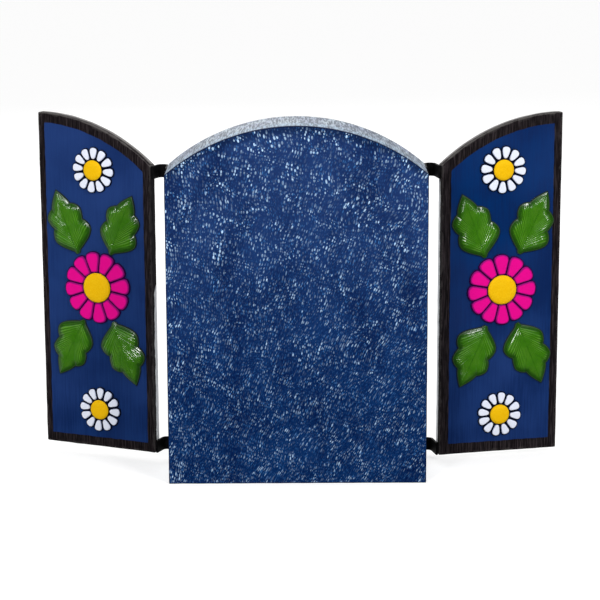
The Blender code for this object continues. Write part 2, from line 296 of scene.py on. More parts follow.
class Shading:
    """A tree's nodes under construction. An input is a value, or the socket that feeds it."""

    def __init__(self, tree):
        self.tree = tree

    def feed(self, node, inputs):
        for key, value in inputs.items():
            if isinstance(value, bpy.types.NodeSocket):
                self.tree.links.new(value, node.inputs[key])
            else:
                node.inputs[key].default_value = value

    def add(self, kind, inputs, **settings):
        node = self.tree.nodes.new(kind)
        for name, value in settings.items():
            setattr(node, name, value)
        self.feed(node, inputs)
        return node

    def math(self, operation, *values, **settings):
        return self.add("ShaderNodeMath", dict(enumerate(values)), operation=operation, **settings).outputs[0]

    def product(self, value, *others):
        for other in others:
            value = self.math("MULTIPLY", value, other)
        return value

    def vector(self, operation, *values, output=0):
        return self.add("ShaderNodeVectorMath", dict(enumerate(values)), operation=operation).outputs[output]

    def parts(self, vector):
        return self.add("ShaderNodeSeparateXYZ", {0: vector}).outputs

    def joined(self, *parts):
        return self.add("ShaderNodeCombineXYZ", dict(enumerate(parts))).outputs[0]

    def reordered(self, vector, order):
        """The vector's parts in another order, such as (2, 0, 1) to turn its Z along X."""
        parts = self.parts(vector)
        return self.joined(*(parts[source] for source in order))

    def scaled(self, vector, size, offset=(0.0, 0.0, 0.0)):
        """A vector divided by a size, or by one for each part, and then moved."""
        sizes = size if isinstance(size, tuple) else (size,) * 3
        inputs = {"Vector": vector, "Location": offset, "Scale": tuple(1 / each for each in sizes)}
        return self.add("ShaderNodeMapping", inputs).outputs[0]

    def noise(self, vector, size=None, detail=2.0, roughness=0.5):
        """Patches of about this size."""
        vector = self.scaled(vector, size) if size else vector
        inputs = {"Vector": vector, "Scale": 1.0, "Detail": detail, "Roughness": roughness}
        return self.add("ShaderNodeTexNoise", inputs).outputs["Fac"]

    def step(self, value, low, high, to_low=0.0, to_high=1.0):
        """A smooth step from to_low where value is low to to_high where it is high."""
        inputs = {"Value": value, "From Min": low, "From Max": high, "To Min": to_low, "To Max": to_high}
        return self.add("ShaderNodeMapRange", inputs, interpolation_type="SMOOTHSTEP").outputs[0]

    def mix(self, factor, low, high):
        """A colour between two colours."""
        low, high = (end if isinstance(end, bpy.types.NodeSocket) else (*end, 1.0) for end in (low, high))
        return self.add("ShaderNodeMix", {0: factor, 6: low, 7: high}, data_type="RGBA").outputs[2]

    def attribute(self, name, output="Fac"):
        return self.add("ShaderNodeAttribute", {}, attribute_name=name).outputs[output]

    def group(self, build, vector, values):
        """The outputs of the group that this function builds, built once."""
        name = build.__name__
        tree = bpy.data.node_groups.get(name) or build(name)
        return self.add("ShaderNodeGroup", {"Vector": vector, **values}, node_tree=tree).outputs


class Finish(Shading):
    """A material with a Principled BSDF under construction."""

    def __init__(self, name, roughness, specular):
        self.material = bpy.data.materials.new(name)
        self.material.use_nodes = True
        super().__init__(self.material.node_tree)
        self.shader = self.tree.nodes["Principled BSDF"]
        self.feed(self.shader, {"Roughness": roughness, "Specular IOR Level": specular})

    @cached_property
    def flat(self):
        """A point's place before its piece is bent, opened or put on its door."""
        return self.attribute("flat", "Vector")

    def done(self, colour, relief, depth, strength=0.5, **others):
        """Feed the shader a colour, a bump of this relief and depth, and others. Returns the material."""
        bump = self.add("ShaderNodeBump", {"Height": relief, "Distance": depth, "Strength": strength})
        self.feed(self.shader, {"Base Color": colour, "Normal": bump.outputs[0], **others})
        return self.material

    def rubbed(self, width):
        """Where the paint is rubbed off along the edges, over about this width."""
        values = {"Distance": self.attribute("to_edge"), "Width": width}
        return self.group(worn_edge, self.flat, values)["Mask"]


def new_group(name, numbers, masks):
    """An empty node group that takes a vector and these numbers and gives these masks.

    Returns its shading, its input sockets and its output node.
    """
    tree = bpy.data.node_groups.new(name, "ShaderNodeTree")
    tree.interface.new_socket("Vector", in_out="INPUT", socket_type="NodeSocketVector")
    for socket, default in numbers.items():
        made = tree.interface.new_socket(socket, in_out="INPUT", socket_type="NodeSocketFloat")
        made.default_value = default
    for socket in masks:
        tree.interface.new_socket(socket, in_out="OUTPUT", socket_type="NodeSocketFloat")
    shading = Shading(tree)
    return shading, shading.add("NodeGroupInput", {}).outputs, shading.add("NodeGroupOutput", {})


def brush_marks(name):
    """Paint laid on with a brush: long thin streaks along X, and broad uneven tone."""
    numbers = {"Length": 40 * MM, "Width": 1.2 * MM, "Tone Size": 30 * MM, "Seed": 0.0}
    shading, given, result = new_group(name, numbers, ("Streaks", "Tone"))
    sizes = (given["Length"], given["Width"], given["Width"])
    parts = zip(shading.parts(given["Vector"]), sizes)
    counted = shading.joined(*(shading.math("DIVIDE", part, size) for part, size in parts))
    moved = shading.vector("ADD", counted, given["Seed"])
    patches = {0: given["Vector"], "Scale": shading.math("DIVIDE", 1.0, given["Tone Size"])}
    broad = shading.add("ShaderNodeVectorMath", patches, operation="SCALE").outputs[0]
    tone = shading.noise(shading.vector("ADD", broad, given["Seed"]))
    shading.feed(result, {"Streaks": shading.noise(moved, detail=3.0, roughness=0.6), "Tone": tone})
    return shading.tree


def worn_edge(name):
    """Where paint is rubbed off along an edge: 1 on the edge, fading unevenly over the width."""
    shading, given, result = new_group(name, {"Distance": 0.0, "Width": 1 * MM}, ["Mask"])
    patchy = shading.noise(given["Vector"], 6 * MM, 4.0, 0.65)
    reach = shading.product(given["Width"], shading.step(patchy, 0.35, 0.75, 0.2, 1.6))
    share = shading.math("DIVIDE", given["Distance"], reach)
    shading.feed(result, {"Mask": shading.step(share, 0.5, 1.0, 1.0, 0.0)})
    return shading.tree


def flecks(name):
    """Short dabs of paint, one in each cell of a plane grid: the vector's X and Y count cells.

    A dab is an ellipse of its own size and strength, its height over its width in cells the square of its
    slimness.
    """
    numbers = {"Size": 0.25, "Softness": 0.12, "Slimness": 1.0, "Seed": 0.0}
    shading, given, result = new_group(name, numbers, ["Mask"])
    moved = shading.vector("ADD", given["Vector"], given["Seed"])
    cells = {"Vector": moved, "Scale": 1.0, "Randomness": 0.75}
    cell = shading.add("ShaderNodeTexVoronoi", cells, voronoi_dimensions="2D").outputs
    own_size, own_strength, _ = shading.add("ShaderNodeSeparateColor", {0: cell["Color"]}).outputs
    size = shading.product(given["Size"], shading.step(own_size, 0.0, 1.0, 0.6, 1.3))
    inner = shading.math("SUBTRACT", size, given["Softness"])
    off = shading.vector("SUBTRACT", moved, cell["Position"])
    shape = shading.joined(given["Slimness"], shading.math("DIVIDE", 1.0, given["Slimness"]))
    reach = shading.vector("LENGTH", shading.vector("MULTIPLY", off, shape), output="Value")
    inside = shading.step(reach, inner, size, 1.0, 0.0)
    shading.feed(result, {"Mask": shading.product(inside, shading.math("POWER", own_strength, 1.6))})
    return shading.tree


# Finishes


def royal_blue_finish(paint, top):
    """The back panel: royal blue, uneven in tone and paler higher up, with pale dabs in rows on both faces.

    The dabs gather in drifts and near the top edge, where painted shade darkens the blue. Inside the box they
    are faint.
    laid holds a point's place in the grid of dabs, and on_face how strong the dabs are there.
    """
    finish = Finish("royal blue paint with pale flecks", roughness=0.6, specular=0.03)
    laid = finish.attribute("laid", "Vector")
    x, _, z = finish.parts(finish.flat)
    broad = finish.noise(finish.flat, (35 * MM, 35 * MM, 50 * MM), 3.0, 0.6)
    fine = finish.noise(laid, (0.7, 0.7, 1.0), 3.0, 0.7)
    tone = finish.math("MULTIPLY_ADD", fine, 0.6, finish.product(broad, 0.4))
    ground = finish.mix(finish.step(tone, 0.36, 0.64), paint.blue_deep, paint.blue)
    higher_up = finish.step(z, 40 * MM, 260 * MM, 0.0, 0.55)
    pale = finish.product(higher_up, finish.step(broad, 0.3, 0.6, 0.4, 1.0))
    ground = finish.mix(pale, ground, paint.blue_pale)
    # Painted shade: the blue darkens towards the top edge, along the joint with the arched top
    shade_at_top = finish.step(z, top - 8.5 * MM, top - 1.5 * MM, 0.0, 0.65)
    ground = finish.mix(shade_at_top, ground, paint.blue_edge)

    drift = finish.step(finish.noise(laid, (4.6, 3.0, 1.0)), 0.38, 0.62, 0.1, 1.0)
    patchy = finish.step(finish.noise(finish.flat, 30 * MM, 1.0), 0.3, 0.6, 0.5, 1.0)
    upper = finish.step(z, 100 * MM, 240 * MM, 0.8, 1.25)
    beside = finish.step(x, 75 * MM, 98 * MM, 1.0, 1.4)
    rim = finish.step(z, top - 18 * MM, top - 6 * MM, 1.0, 1.35)
    amount = finish.product(drift, patchy, finish.product(upper, beside, rim))
    dab = {"Size": 0.35, "Softness": 0.16, "Slimness": 1.2, "Seed": 3.1}
    big = finish.group(flecks, laid, dab)["Mask"]
    closer = finish.scaled(laid, (0.7, 0.8, 1.0), (17.3, 9.1, 0.0))
    small = finish.group(flecks, closer, {**dab, "Size": 0.36, "Softness": 0.22, "Seed": 0.7})["Mask"]
    on_face = finish.attribute("on_face")
    bright = finish.product(big, amount, on_face)
    faint = finish.product(small, finish.step(drift, 0.1, 1.0, 0.4, 0.95), on_face)
    dabbed = finish.mix(bright, finish.mix(faint, ground, paint.fleck_shade), paint.fleck)
    # A thin dark line along every edge: painted shade along the top edge, and dark worn edges elsewhere
    off_edge = finish.math("MULTIPLY_ADD", fine, 0.6 * MM, finish.attribute("to_edge"))
    colour = finish.mix(finish.step(off_edge, 0.6 * MM, 1.2 * MM), paint.blue_edge, dabbed)
    relief = finish.math("MULTIPLY_ADD", fine, 0.5, finish.math("MAXIMUM", bright, faint))
    return finish.done(colour, relief, 0.25 * MM)


def white_wash(paint, name, clean=0.0, near_panel=None):
    """Thin white paint brushed from front to back, so that grey-blue ground shows in its streaks.

    clean is how white the ground between the streaks is. Where near_panel is given, the paint is thicker and
    bluer past that depth, next to the back panel.
    """
    finish = Finish(name, roughness=0.6, specular=0.2)
    inwards = finish.reordered(finish.flat, (1, 0, 2))
    narrow = {"Length": 14 * MM, "Width": 1.4 * MM, "Tone Size": 20 * MM, "Seed": 5.0}
    wide = {"Length": 40 * MM, "Width": 6 * MM, "Tone Size": 30 * MM, "Seed": 8.0}
    marks = finish.group(brush_marks, inwards, narrow)
    strokes = finish.group(brush_marks, inwards, wide)
    streaks = finish.step(marks["Streaks"], 0.42, 0.60)
    tone = finish.step(strokes["Streaks"], 0.44, 0.60)
    amount = finish.math("MULTIPLY_ADD", tone, 0.35, finish.product(streaks, 0.65))
    tinted = finish.mix(finish.step(marks["Tone"], 0.42, 0.62), paint.white_wash, paint.wash_tint)
    if near_panel is not None:
        beside = finish.step(finish.parts(finish.flat)[1], near_panel, near_panel + 12 * MM)
        amount = finish.math("MULTIPLY_ADD", beside, 0.15, amount, use_clamp=True)
        tinted = finish.mix(finish.product(beside, 0.8), tinted, paint.wash_blue)
    thin = finish.mix(finish.step(amount, 0.0, 1.0, clean, 1.0), paint.wash_ground, tinted)
    colour = finish.mix(finish.product(finish.rubbed(1.2 * MM), 0.35), thin, paint.bare_edge)
    return finish.done(colour, marks["Streaks"], 0.2 * MM)


def door_finish(paint):
    """A door: navy field and a near-black border on its outer face, and a white inner face.

    The border laps over the grey edges. rim and rim_top hold a point's distances past the border's inner
    line. edge holds its depth behind the outer face, how far the border laps over there, and how white the
    edge is. tone holds how light and how green the blue is. face is 1 on the outer face, -1 on the inner.
    """
    finish = Finish("navy door paint with a black border", roughness=0.6, specular=0.03)
    uneven = finish.math("SUBTRACT", finish.noise(finish.flat, 11 * MM, 4.0, 0.6), 0.5)
    nearest = finish.attribute("rim_top")
    for other in finish.parts(finish.attribute("rim", "Vector")):
        nearest = finish.math("SMOOTH_MIN", nearest, other, 1.2 * MM)
    field = finish.step(finish.math("MULTIPLY_ADD", uneven, 1.6 * MM, nearest), -0.2 * MM, 0.3 * MM)

    upright = finish.reordered(finish.flat, (2, 0, 1))
    wide = {"Length": 30 * MM, "Width": 1.3 * MM, "Tone Size": 30 * MM, "Seed": 2.0}
    marks = finish.group(brush_marks, upright, wide)
    light, green, _ = finish.parts(finish.attribute("tone", "Vector"))
    tone = finish.math("MULTIPLY_ADD", marks["Streaks"], 0.45, finish.product(marks["Tone"], 0.55))
    hue = finish.mix(green, paint.navy, paint.navy_green)
    shaded = finish.mix(finish.step(tone, 0.35, 0.65), paint.navy_deep, hue)
    navy = finish.mix(light, shaded, paint.navy_light)

    narrow = {"Length": 16 * MM, "Width": 0.7 * MM, "Tone Size": 12 * MM, "Seed": 9.0}
    grain = finish.group(brush_marks, upright, narrow)["Streaks"]
    lying = finish.group(brush_marks, finish.flat, narrow)["Streaks"]
    on_top = finish.attribute("on_top")
    streaks = finish.add("ShaderNodeMix", {0: on_top, 2: grain, 3: lying}).outputs[0]
    dark = finish.mix(finish.step(streaks, 0.42, 0.75), paint.border, paint.border_streak)
    worn = finish.product(finish.rubbed(2.2 * MM), finish.step(on_top, 0.0, 1.0, 0.25, 0.8))
    dark = finish.mix(worn, dark, paint.edge_grey)
    front = finish.mix(field, dark, navy)

    through, lap, primed = finish.parts(finish.attribute("edge", "Vector"))
    past_lap = finish.math("MULTIPLY_ADD", uneven, 4 * MM, finish.math("SUBTRACT", through, lap))
    greys = finish.mix(finish.step(past_lap, 0.3 * MM, 3 * MM), paint.edge_grey, paint.edge_light)
    greys = finish.mix(finish.step(streaks, 0.50, 0.68, 0.0, 0.6), greys, paint.edge_dark)
    whites = finish.mix(finish.step(streaks, 0.52, 0.72, 0.0, 0.5), paint.edge_white, paint.edge_grey)
    edges = finish.mix(primed, greys, whites)
    sides = finish.mix(finish.step(past_lap, -0.4 * MM, 0.4 * MM), dark, edges)
    inner = finish.mix(finish.step(marks["Streaks"], 0.4, 0.65), paint.gesso_shade, paint.gesso)

    face = finish.attribute("face")
    colour = finish.mix(finish.step(face, 0.5, 1.0), sides, front)
    colour = finish.mix(finish.step(face, -0.5, -1.0), colour, inner)
    return finish.done(colour, finish.math("MULTIPLY_ADD", grain, 0.5, marks["Streaks"]), 0.12 * MM)


def leather_finish(paint):
    """Black leather: a pebbled grain, greyer in patches where it is rubbed."""
    finish = Finish("black leather", roughness=0.6, specular=0.06)
    cells = {"Vector": finish.scaled(finish.flat, 0.7 * MM), "Scale": 1.0}
    pebbles = finish.add("ShaderNodeTexVoronoi", cells).outputs["Distance"]
    tone = finish.noise(finish.flat, 3 * MM, 4.0, 0.65)
    colour = finish.mix(finish.step(tone, 0.45, 0.8), paint.leather, paint.leather_worn)
    return finish.done(colour, pebbles, 0.12 * MM)


def petal_finish(name, paint, top, side, ground, shade_reach):
    """A painted flower: petal tops, painted shade on the petal sides, a dark ground, and a grainy yellow
    centre.

    inside_petal and inside_centre hold how far inside a petal and the centre a point is.
    """
    finish = Finish(name, roughness=0.5, specular=0.04)
    middle = finish.attribute("inside_centre")
    tone = finish.noise(finish.flat, 3 * MM, 3.0, 0.6)
    waver = finish.math("SUBTRACT", tone, 0.5)
    brushed = finish.math("MULTIPLY_ADD", waver, 0.3 * MM, finish.attribute("inside_petal"))
    # Painted shade on each petal's rounded sides
    petal = finish.mix(finish.step(brushed, shade_reach * 0.3, shade_reach * 1.3), side, top)
    painted = finish.mix(finish.step(brushed, 0.0, 0.12 * MM), ground, petal)
    grainy = finish.noise(finish.flat, 0.9 * MM, 3.0, 0.7)
    yellow = finish.mix(finish.step(grainy, 0.35, 0.75), paint.yellow, paint.yellow_light)
    button = finish.mix(finish.step(middle, 0.08 * MM, 0.25 * MM), ground, yellow)
    colour = finish.mix(finish.step(middle, -0.2 * MM, 0.0), painted, button)
    relief = finish.product(grainy, finish.step(middle, 0.0, 0.5 * MM, 0.25, 1.0))
    return finish.done(colour, relief, 0.12 * MM)


def leaf_finish(paint):
    """A glossy green leaf, with painted shade where its relief is low, a painted shadow at its dull foot, and
    a painted highlight on its combed ridges.
    """
    finish = Finish("glossy green leaf paint", roughness=0.2, specular=0.6)
    height, comb = finish.attribute("height"), finish.attribute("comb")
    tone = finish.noise(finish.flat, 4 * MM, 3.0, 0.6)
    # Painted shade: the green deepens where the relief is low, in valleys, the midrib groove and between
    # combed ridges
    level = finish.math("MULTIPLY_ADD", finish.math("SUBTRACT", tone, 0.5), 0.8, height)
    level = finish.math("MULTIPLY_ADD", comb, 0.5, level)
    body = finish.mix(finish.step(level, 0.3, 1.25), paint.green_deep, paint.green)
    # Painted highlight on the combed ridges, beside their real gloss
    combed = finish.mix(finish.step(comb, 0.4, 1.0, 0.0, 0.6), body, paint.green_light)
    # Painted shadow round the leaf's foot, which is also dull
    foot = finish.step(finish.attribute("inside_leaf"), 0.2 * MM, 1.2 * MM, 1.0, 0.0)
    colour = finish.mix(foot, combed, paint.green_shadow)
    return finish.done(colour, tone, 0.4 * MM, 0.3, Roughness=finish.math("MULTIPLY_ADD", foot, 0.8, 0.2))


# Boards


class Box(NamedTuple):
    """The box's sizes, read off its solids."""

    half_width: float
    front_y: float
    boards_back_y: float
    back_y: float
    outer: Arc
    top_thick: float
    side_height: float
    gap: float


def read_box():
    """The box, from the corners of its back panel and its arched top."""
    panel = node_points("back_panel")
    top = node_points("arched_top")
    outer = top_arc(panel)
    half_width = panel[:, 0].max()
    crown = top[np.abs(top[:, 0]) < MM, 2]
    return Box(
        half_width=half_width,
        front_y=top[:, 1].min(),
        boards_back_y=top[:, 1].max(),
        back_y=panel[:, 1].max(),
        outer=outer,
        top_thick=crown.max() - crown.min(),
        side_height=float(outer.height(half_width)),
        gap=panel[:, 1].min() - top[:, 1].max(),
    )


def box_board(low, high, sizes, seed):
    """One of the box's boards, rounded and worn as they all are."""
    return rounded_box(low, high, sizes.board_round, BOARD_STEP, sizes.board_dent, seed)


def raised(surface, flat_height, top_of_x, foot=0.0):
    """The surface with its flat height stretched so that it ends at top_of_x(x)."""
    x, y, z = surface.points.T
    share = (z - foot) / (flat_height - foot)
    lifted = np.stack([x, y, foot + share * (top_of_x(x) - foot)], 1)
    return surface._replace(points=lifted)


def dab_cells(points, middle_z, sizes):
    """Where the brush laid its dabs, counted in cells across and along.

    Seen from behind, X to the right: cells lean by lean + lean_across·X - lean_up·Z, which summed up the
    panel shifts them aside. Rows fall to the right by row_fall, and both waver slowly.
    """
    x, up = -points[:, 0], points[:, 2] - middle_z
    plane = np.stack([x, up], 1)
    shift = sizes.dab_lean * up + sizes.dab_lean_across * x * up - sizes.dab_lean_up / 2 * up**2
    across = x - shift + 2.0 * MM * soft_field(plane, 34 * MM, 51)
    along = up + sizes.dab_row_fall * across + 3.0 * MM * soft_field(plane, 26 * MM, 52)
    return np.stack([across / sizes.dab_across, along / sizes.dab_along, np.zeros_like(x)], 1)


def back_panel_surface(box, sizes):
    """A flat board whose height follows the arc: z grows by top(x) / side height."""
    thick_from = box.boards_back_y + box.gap
    low, high = (-box.half_width, thick_from, 0.0), (box.half_width, box.back_y, box.side_height)
    surface = raised(box_board(low, high, sizes, seed=21), box.side_height, box.outer.height)
    surface.values["laid"] = dab_cells(surface.points, box.side_height / 2, sizes)
    y = surface.values["flat"][:, 1]
    surface.values["on_face"] = (y >= high[1]) + sizes.dab_inside * (y <= low[1])
    return surface


def arched_top_surface(box, sizes):
    """A bent board: x turns into an angle, and z goes along the radius. Its ends are upright planes."""
    half_turn = math.asin(box.half_width / box.outer.radius)
    half_length = half_turn * box.outer.radius
    low, high = (-half_length, box.front_y, -box.top_thick), (half_length, box.boards_back_y, 0.0)
    surface = box_board(low, high, sizes, seed=22)
    x, y, z = surface.points.T
    radius = box.outer.radius + z
    angle = x / half_length * np.arcsin(box.half_width / radius)
    bent = np.stack([radius * np.sin(angle), y, box.outer.middle_z + radius * np.cos(angle)], 1)
    return surface._replace(points=bent)


def side_board_surface(name, box, sizes, side):
    """An upright board whose top follows the arched top's underside."""
    inner = np.abs(node_points(name)[:, 0]).min()
    under = Arc(box.outer.middle_z, box.outer.radius - box.top_thick)
    ends = sorted((side * inner, side * box.half_width))
    flat_height = float(under.height(box.half_width)) - box.gap
    low, high = (ends[0], box.front_y, 0.0), (ends[1], box.boards_back_y, flat_height)
    surface = box_board(low, high, sizes, seed=23 + side)
    return raised(surface, flat_height, lambda x: under.height(x) - box.gap)


def bottom_board_surface(sizes):
    """A flat board, as large as its solid."""
    return box_board(*(np.array(corner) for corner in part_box("bottom_board")), sizes, seed=26)


class DoorShape(NamedTuple):
    """A closed right-side door's flat extent and its top edge's arc."""

    low: np.ndarray
    high: np.ndarray
    top: Arc


def read_door(door):
    """A door's shape, from its corners turned back to closed."""
    points = closed(node_points(door.name), door)
    return DoorShape(points.min(0), points.max(0), top_arc(points))


def rising(values, low, high):
    """A smooth step from 0 at low to 1 at high."""
    way = np.clip((values - low) / (high - low), 0, 1)
    return way * way * (3 - 2 * way)


def door_surface(door, sizes):
    """A board cut to half of an arch: z grows by top(x) / shoulder. Its values are what door_finish reads."""
    shape = read_door(door)
    shoulder = float(shape.top.height(shape.high[0]))
    high = (shape.high[0], shape.high[1], shoulder)
    surface = rounded_box(shape.low, high, sizes.door_round, BOARD_STEP, sizes.door_dent, seed=31 + door.side)
    surface = raised(surface, shoulder, shape.top.height, shape.low[2])
    points = surface.points
    x, y, z = points.T
    pick = 0 if door.side > 0 else 1
    hinge, free, foot, top = (
        getattr(sizes, f"border_{edge}")[pick] for edge in ("hinge", "free", "foot", "top")
    )
    to_top = shape.top.radius - np.hypot(x, np.maximum(z - shape.top.middle_z, 0))
    rim = np.stack([shape.high[0] - x - hinge, x - shape.low[0] - free, z - shape.low[2] - foot], 1)
    middle_y = (shape.low[1] + shape.high[1]) / 2
    half = (shape.high[1] - shape.low[1]) / 2
    face = np.clip((middle_y - y) / (half - sizes.door_round / 2), -1, 1)
    face = np.where(np.abs(face) < 1, 0.0, face)

    on_top = rising(-to_top, -EDGE_FROM, -EDGE_FULL)
    on_hinge = rising(x, shape.high[0] - EDGE_FROM, shape.high[0] - EDGE_FULL)
    dark_from = sizes.edge_dark_from[pick]
    covered = rising(z, dark_from - DARK_FADE_BELOW, dark_from + DARK_FADE_ABOVE) * on_hinge
    lap = sizes.border_lap + covered * 2 * half
    edge = np.stack([y - shape.low[1], lap, on_hinge * (1 - covered)], 1)

    # Higher up, the right door's blue grows paler towards its free edge, and the left door's greener
    across, up = (x - shape.low[0]) / (shape.high[0] - shape.low[0]), rising(z, shape.low[2], shoulder)
    paler = 0.5 * up * (1 - 0.4 * across) * (door.side > 0)
    greener = 0.9 * up * (door.side < 0)
    own_place = points + [0, 0, door.side]
    light = np.clip(0.12 + 0.2 * soft_field(own_place, 60 * MM, 61) + paler, 0, 1)
    green = np.clip(0.2 + 0.3 * soft_field(own_place, 70 * MM, 62) + greener, 0, 1)
    values = {
        **surface.values,
        "flat": points + [0, 0, 1 - door.side],
        "rim": rim,
        "rim_top": to_top - top,
        "on_top": on_top,
        "face": face,
        "edge": edge,
        "tone": np.stack([light, green, np.zeros_like(x)], 1),
    }
    return Surface(opened(points, door), mirrored(surface.faces, door.side), values)


# Straps


def strap_line(box, door, sizes, wall_start):
    """A strap's middle line in plan, on the right: along the side board, a loop, then the door's edge.

    The loop is an arc that touches both straight runs: its middle lies one radius off each.
    """
    shape = read_door(door)
    offset = box.gap + sizes.strap_thick / 2
    wall_x = box.half_width + offset
    edge_x = shape.high[0] + offset
    ends = np.array([[edge_x, shape.high[1], 0.0], [edge_x, shape.low[1] + sizes.strap_short, 0.0]])
    turned = opened(ends, door._replace(side=1))[:, :2]
    along = (turned[0] - turned[1]) / np.linalg.norm(turned[0] - turned[1])
    outward = np.array([-along[1], along[0]])
    outward *= -np.sign(outward[0])
    radius = sizes.strap_loop
    slide = (wall_x + radius - turned[0][0] - radius * outward[0]) / along[0]
    centre = turned[0] + slide * along + radius * outward
    last = math.atan2(-outward[1], -outward[0])
    last += 2 * math.pi if last < math.pi else 0.0
    angles = np.linspace(math.pi, last, LOOP_POINTS)
    loop = centre + radius * np.stack([np.cos(angles), np.sin(angles)], 1)
    return np.concatenate([[[wall_x, wall_start]], loop, [turned[1]]])


def carried_along(line, distance, aside):
    """Points on a plane line: this far along it and this far to its left."""
    pieces = np.diff(line, axis=0)
    lengths = np.linalg.norm(pieces, axis=1)
    reached = np.concatenate([[0.0], np.cumsum(lengths)])
    headings = np.unwrap(np.arctan2(pieces[:, 1], pieces[:, 0]))
    middles = (reached[:-1] + reached[1:]) / 2
    heading = np.interp(distance, middles, headings)
    x, y = (np.interp(distance, reached, line[:, i]) for i in range(2))
    return x - aside * np.sin(heading), y + aside * np.cos(heading)


def strap_surface(box, door, node, sizes):
    """A leather band: a thin rounded box whose length is laid along the strap's line."""
    low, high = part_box(node)
    line = strap_line(box, door, sizes, high.y)
    length = np.linalg.norm(np.diff(line, axis=0), axis=1).sum()
    half = sizes.strap_thick / 2
    corners = (0.0, -half, low.z), (length, half, high.z)
    surface = rounded_box(*corners, sizes.strap_round, STRAP_STEP, sizes.strap_dent, seed=41 + door.side)
    x, y = carried_along(line, surface.points[:, 0], surface.points[:, 1])
    points = np.stack([door.side * x, y, surface.points[:, 2]], 1)
    return Surface(points, mirrored(surface.faces, door.side), surface.values)


# Ornaments


class Spot(NamedTuple):
    """Where an ornament sits on its closed door: its middle or stem across and up, and the door's face."""

    x: float
    face_y: float
    z: float


def stick_on(name, surface, spot, door, finish):
    """An ornament made with X to the viewer's right, Y up and Z out, put on its door as a piece."""
    x, y, z = surface.points.T
    flat = np.stack([spot.x + door.side * x, spot.face_y - z, spot.z + y], 1)
    make_piece(name, surface._replace(points=opened(flat, door)), finish, door.name)


def seen_from_outside(name, door):
    """An ornament's solid in the viewer's terms: to the right, up and out from the door's outer face.

    Returns its points, and where that face lies.
    """
    points = closed(node_points(name), door)
    face_y = read_door(door).low[1]
    return np.stack([door.side * points[:, 0], points[:, 2], face_y - points[:, 1]], 1), face_y


class FlowerForm(NamedTuple):
    """A flower read off its solid: its spot, radius and each petal's angle."""

    spot: Spot
    radius: float
    petals: np.ndarray


def read_flower(name, door):
    """The middle is the solid's highest point, and a petal ends wherever its rim is farthest out."""
    points, face_y = seen_from_outside(name, door)
    middle = points[points[:, 2].argmax()]
    across, up = points[:, 0] - middle[0], points[:, 1] - middle[1]
    reach = np.hypot(across, up)
    low = points[:, 2] < points[:, 2].min() + NEAR_FOOT
    ends = low & (reach > PETAL_END_SHARE * reach.max())
    angles = np.unique(np.round(np.arctan2(up[ends], across[ends]), 4))
    return FlowerForm(Spot(door.side * middle[0], face_y, middle[1]), reach.max(), angles)


def soft_least(first, second, blend):
    """The smaller of two distances, with the corner between them rounded over the blend."""
    mix = np.clip(0.5 + 0.5 * (second - first) / blend, 0, 1)
    return second + (first - second) * mix - blend * mix * (1 - mix)


def rolled(distance, rounding):
    """The height share of a pad that rolls down to its edge like a quarter circle: from 0 to 1 inside."""
    way = 1 - np.clip(distance / rounding, 0, 1)
    return np.sqrt(1 - way**2)


class PetalShape(NamedTuple):
    """The gap beside a petal, the radius of its blunt end, its corners' rounding and the rim past it."""

    gap: float
    blunt: float
    corner: float
    rim: float


def inside_petal(along, across, radius, centre, half_angle, shape):
    """How far inside a petal a point is: its least distance to the sides, blunt end and inner end."""
    side = along * math.sin(half_angle) - np.abs(across) * math.cos(half_angle) - shape.gap / 2
    end = shape.blunt - np.hypot(along - (radius - shape.rim - shape.blunt), across)
    start = along - centre - shape.gap / 3
    return soft_least(soft_least(side, end, shape.corner), start, shape.corner / 3)


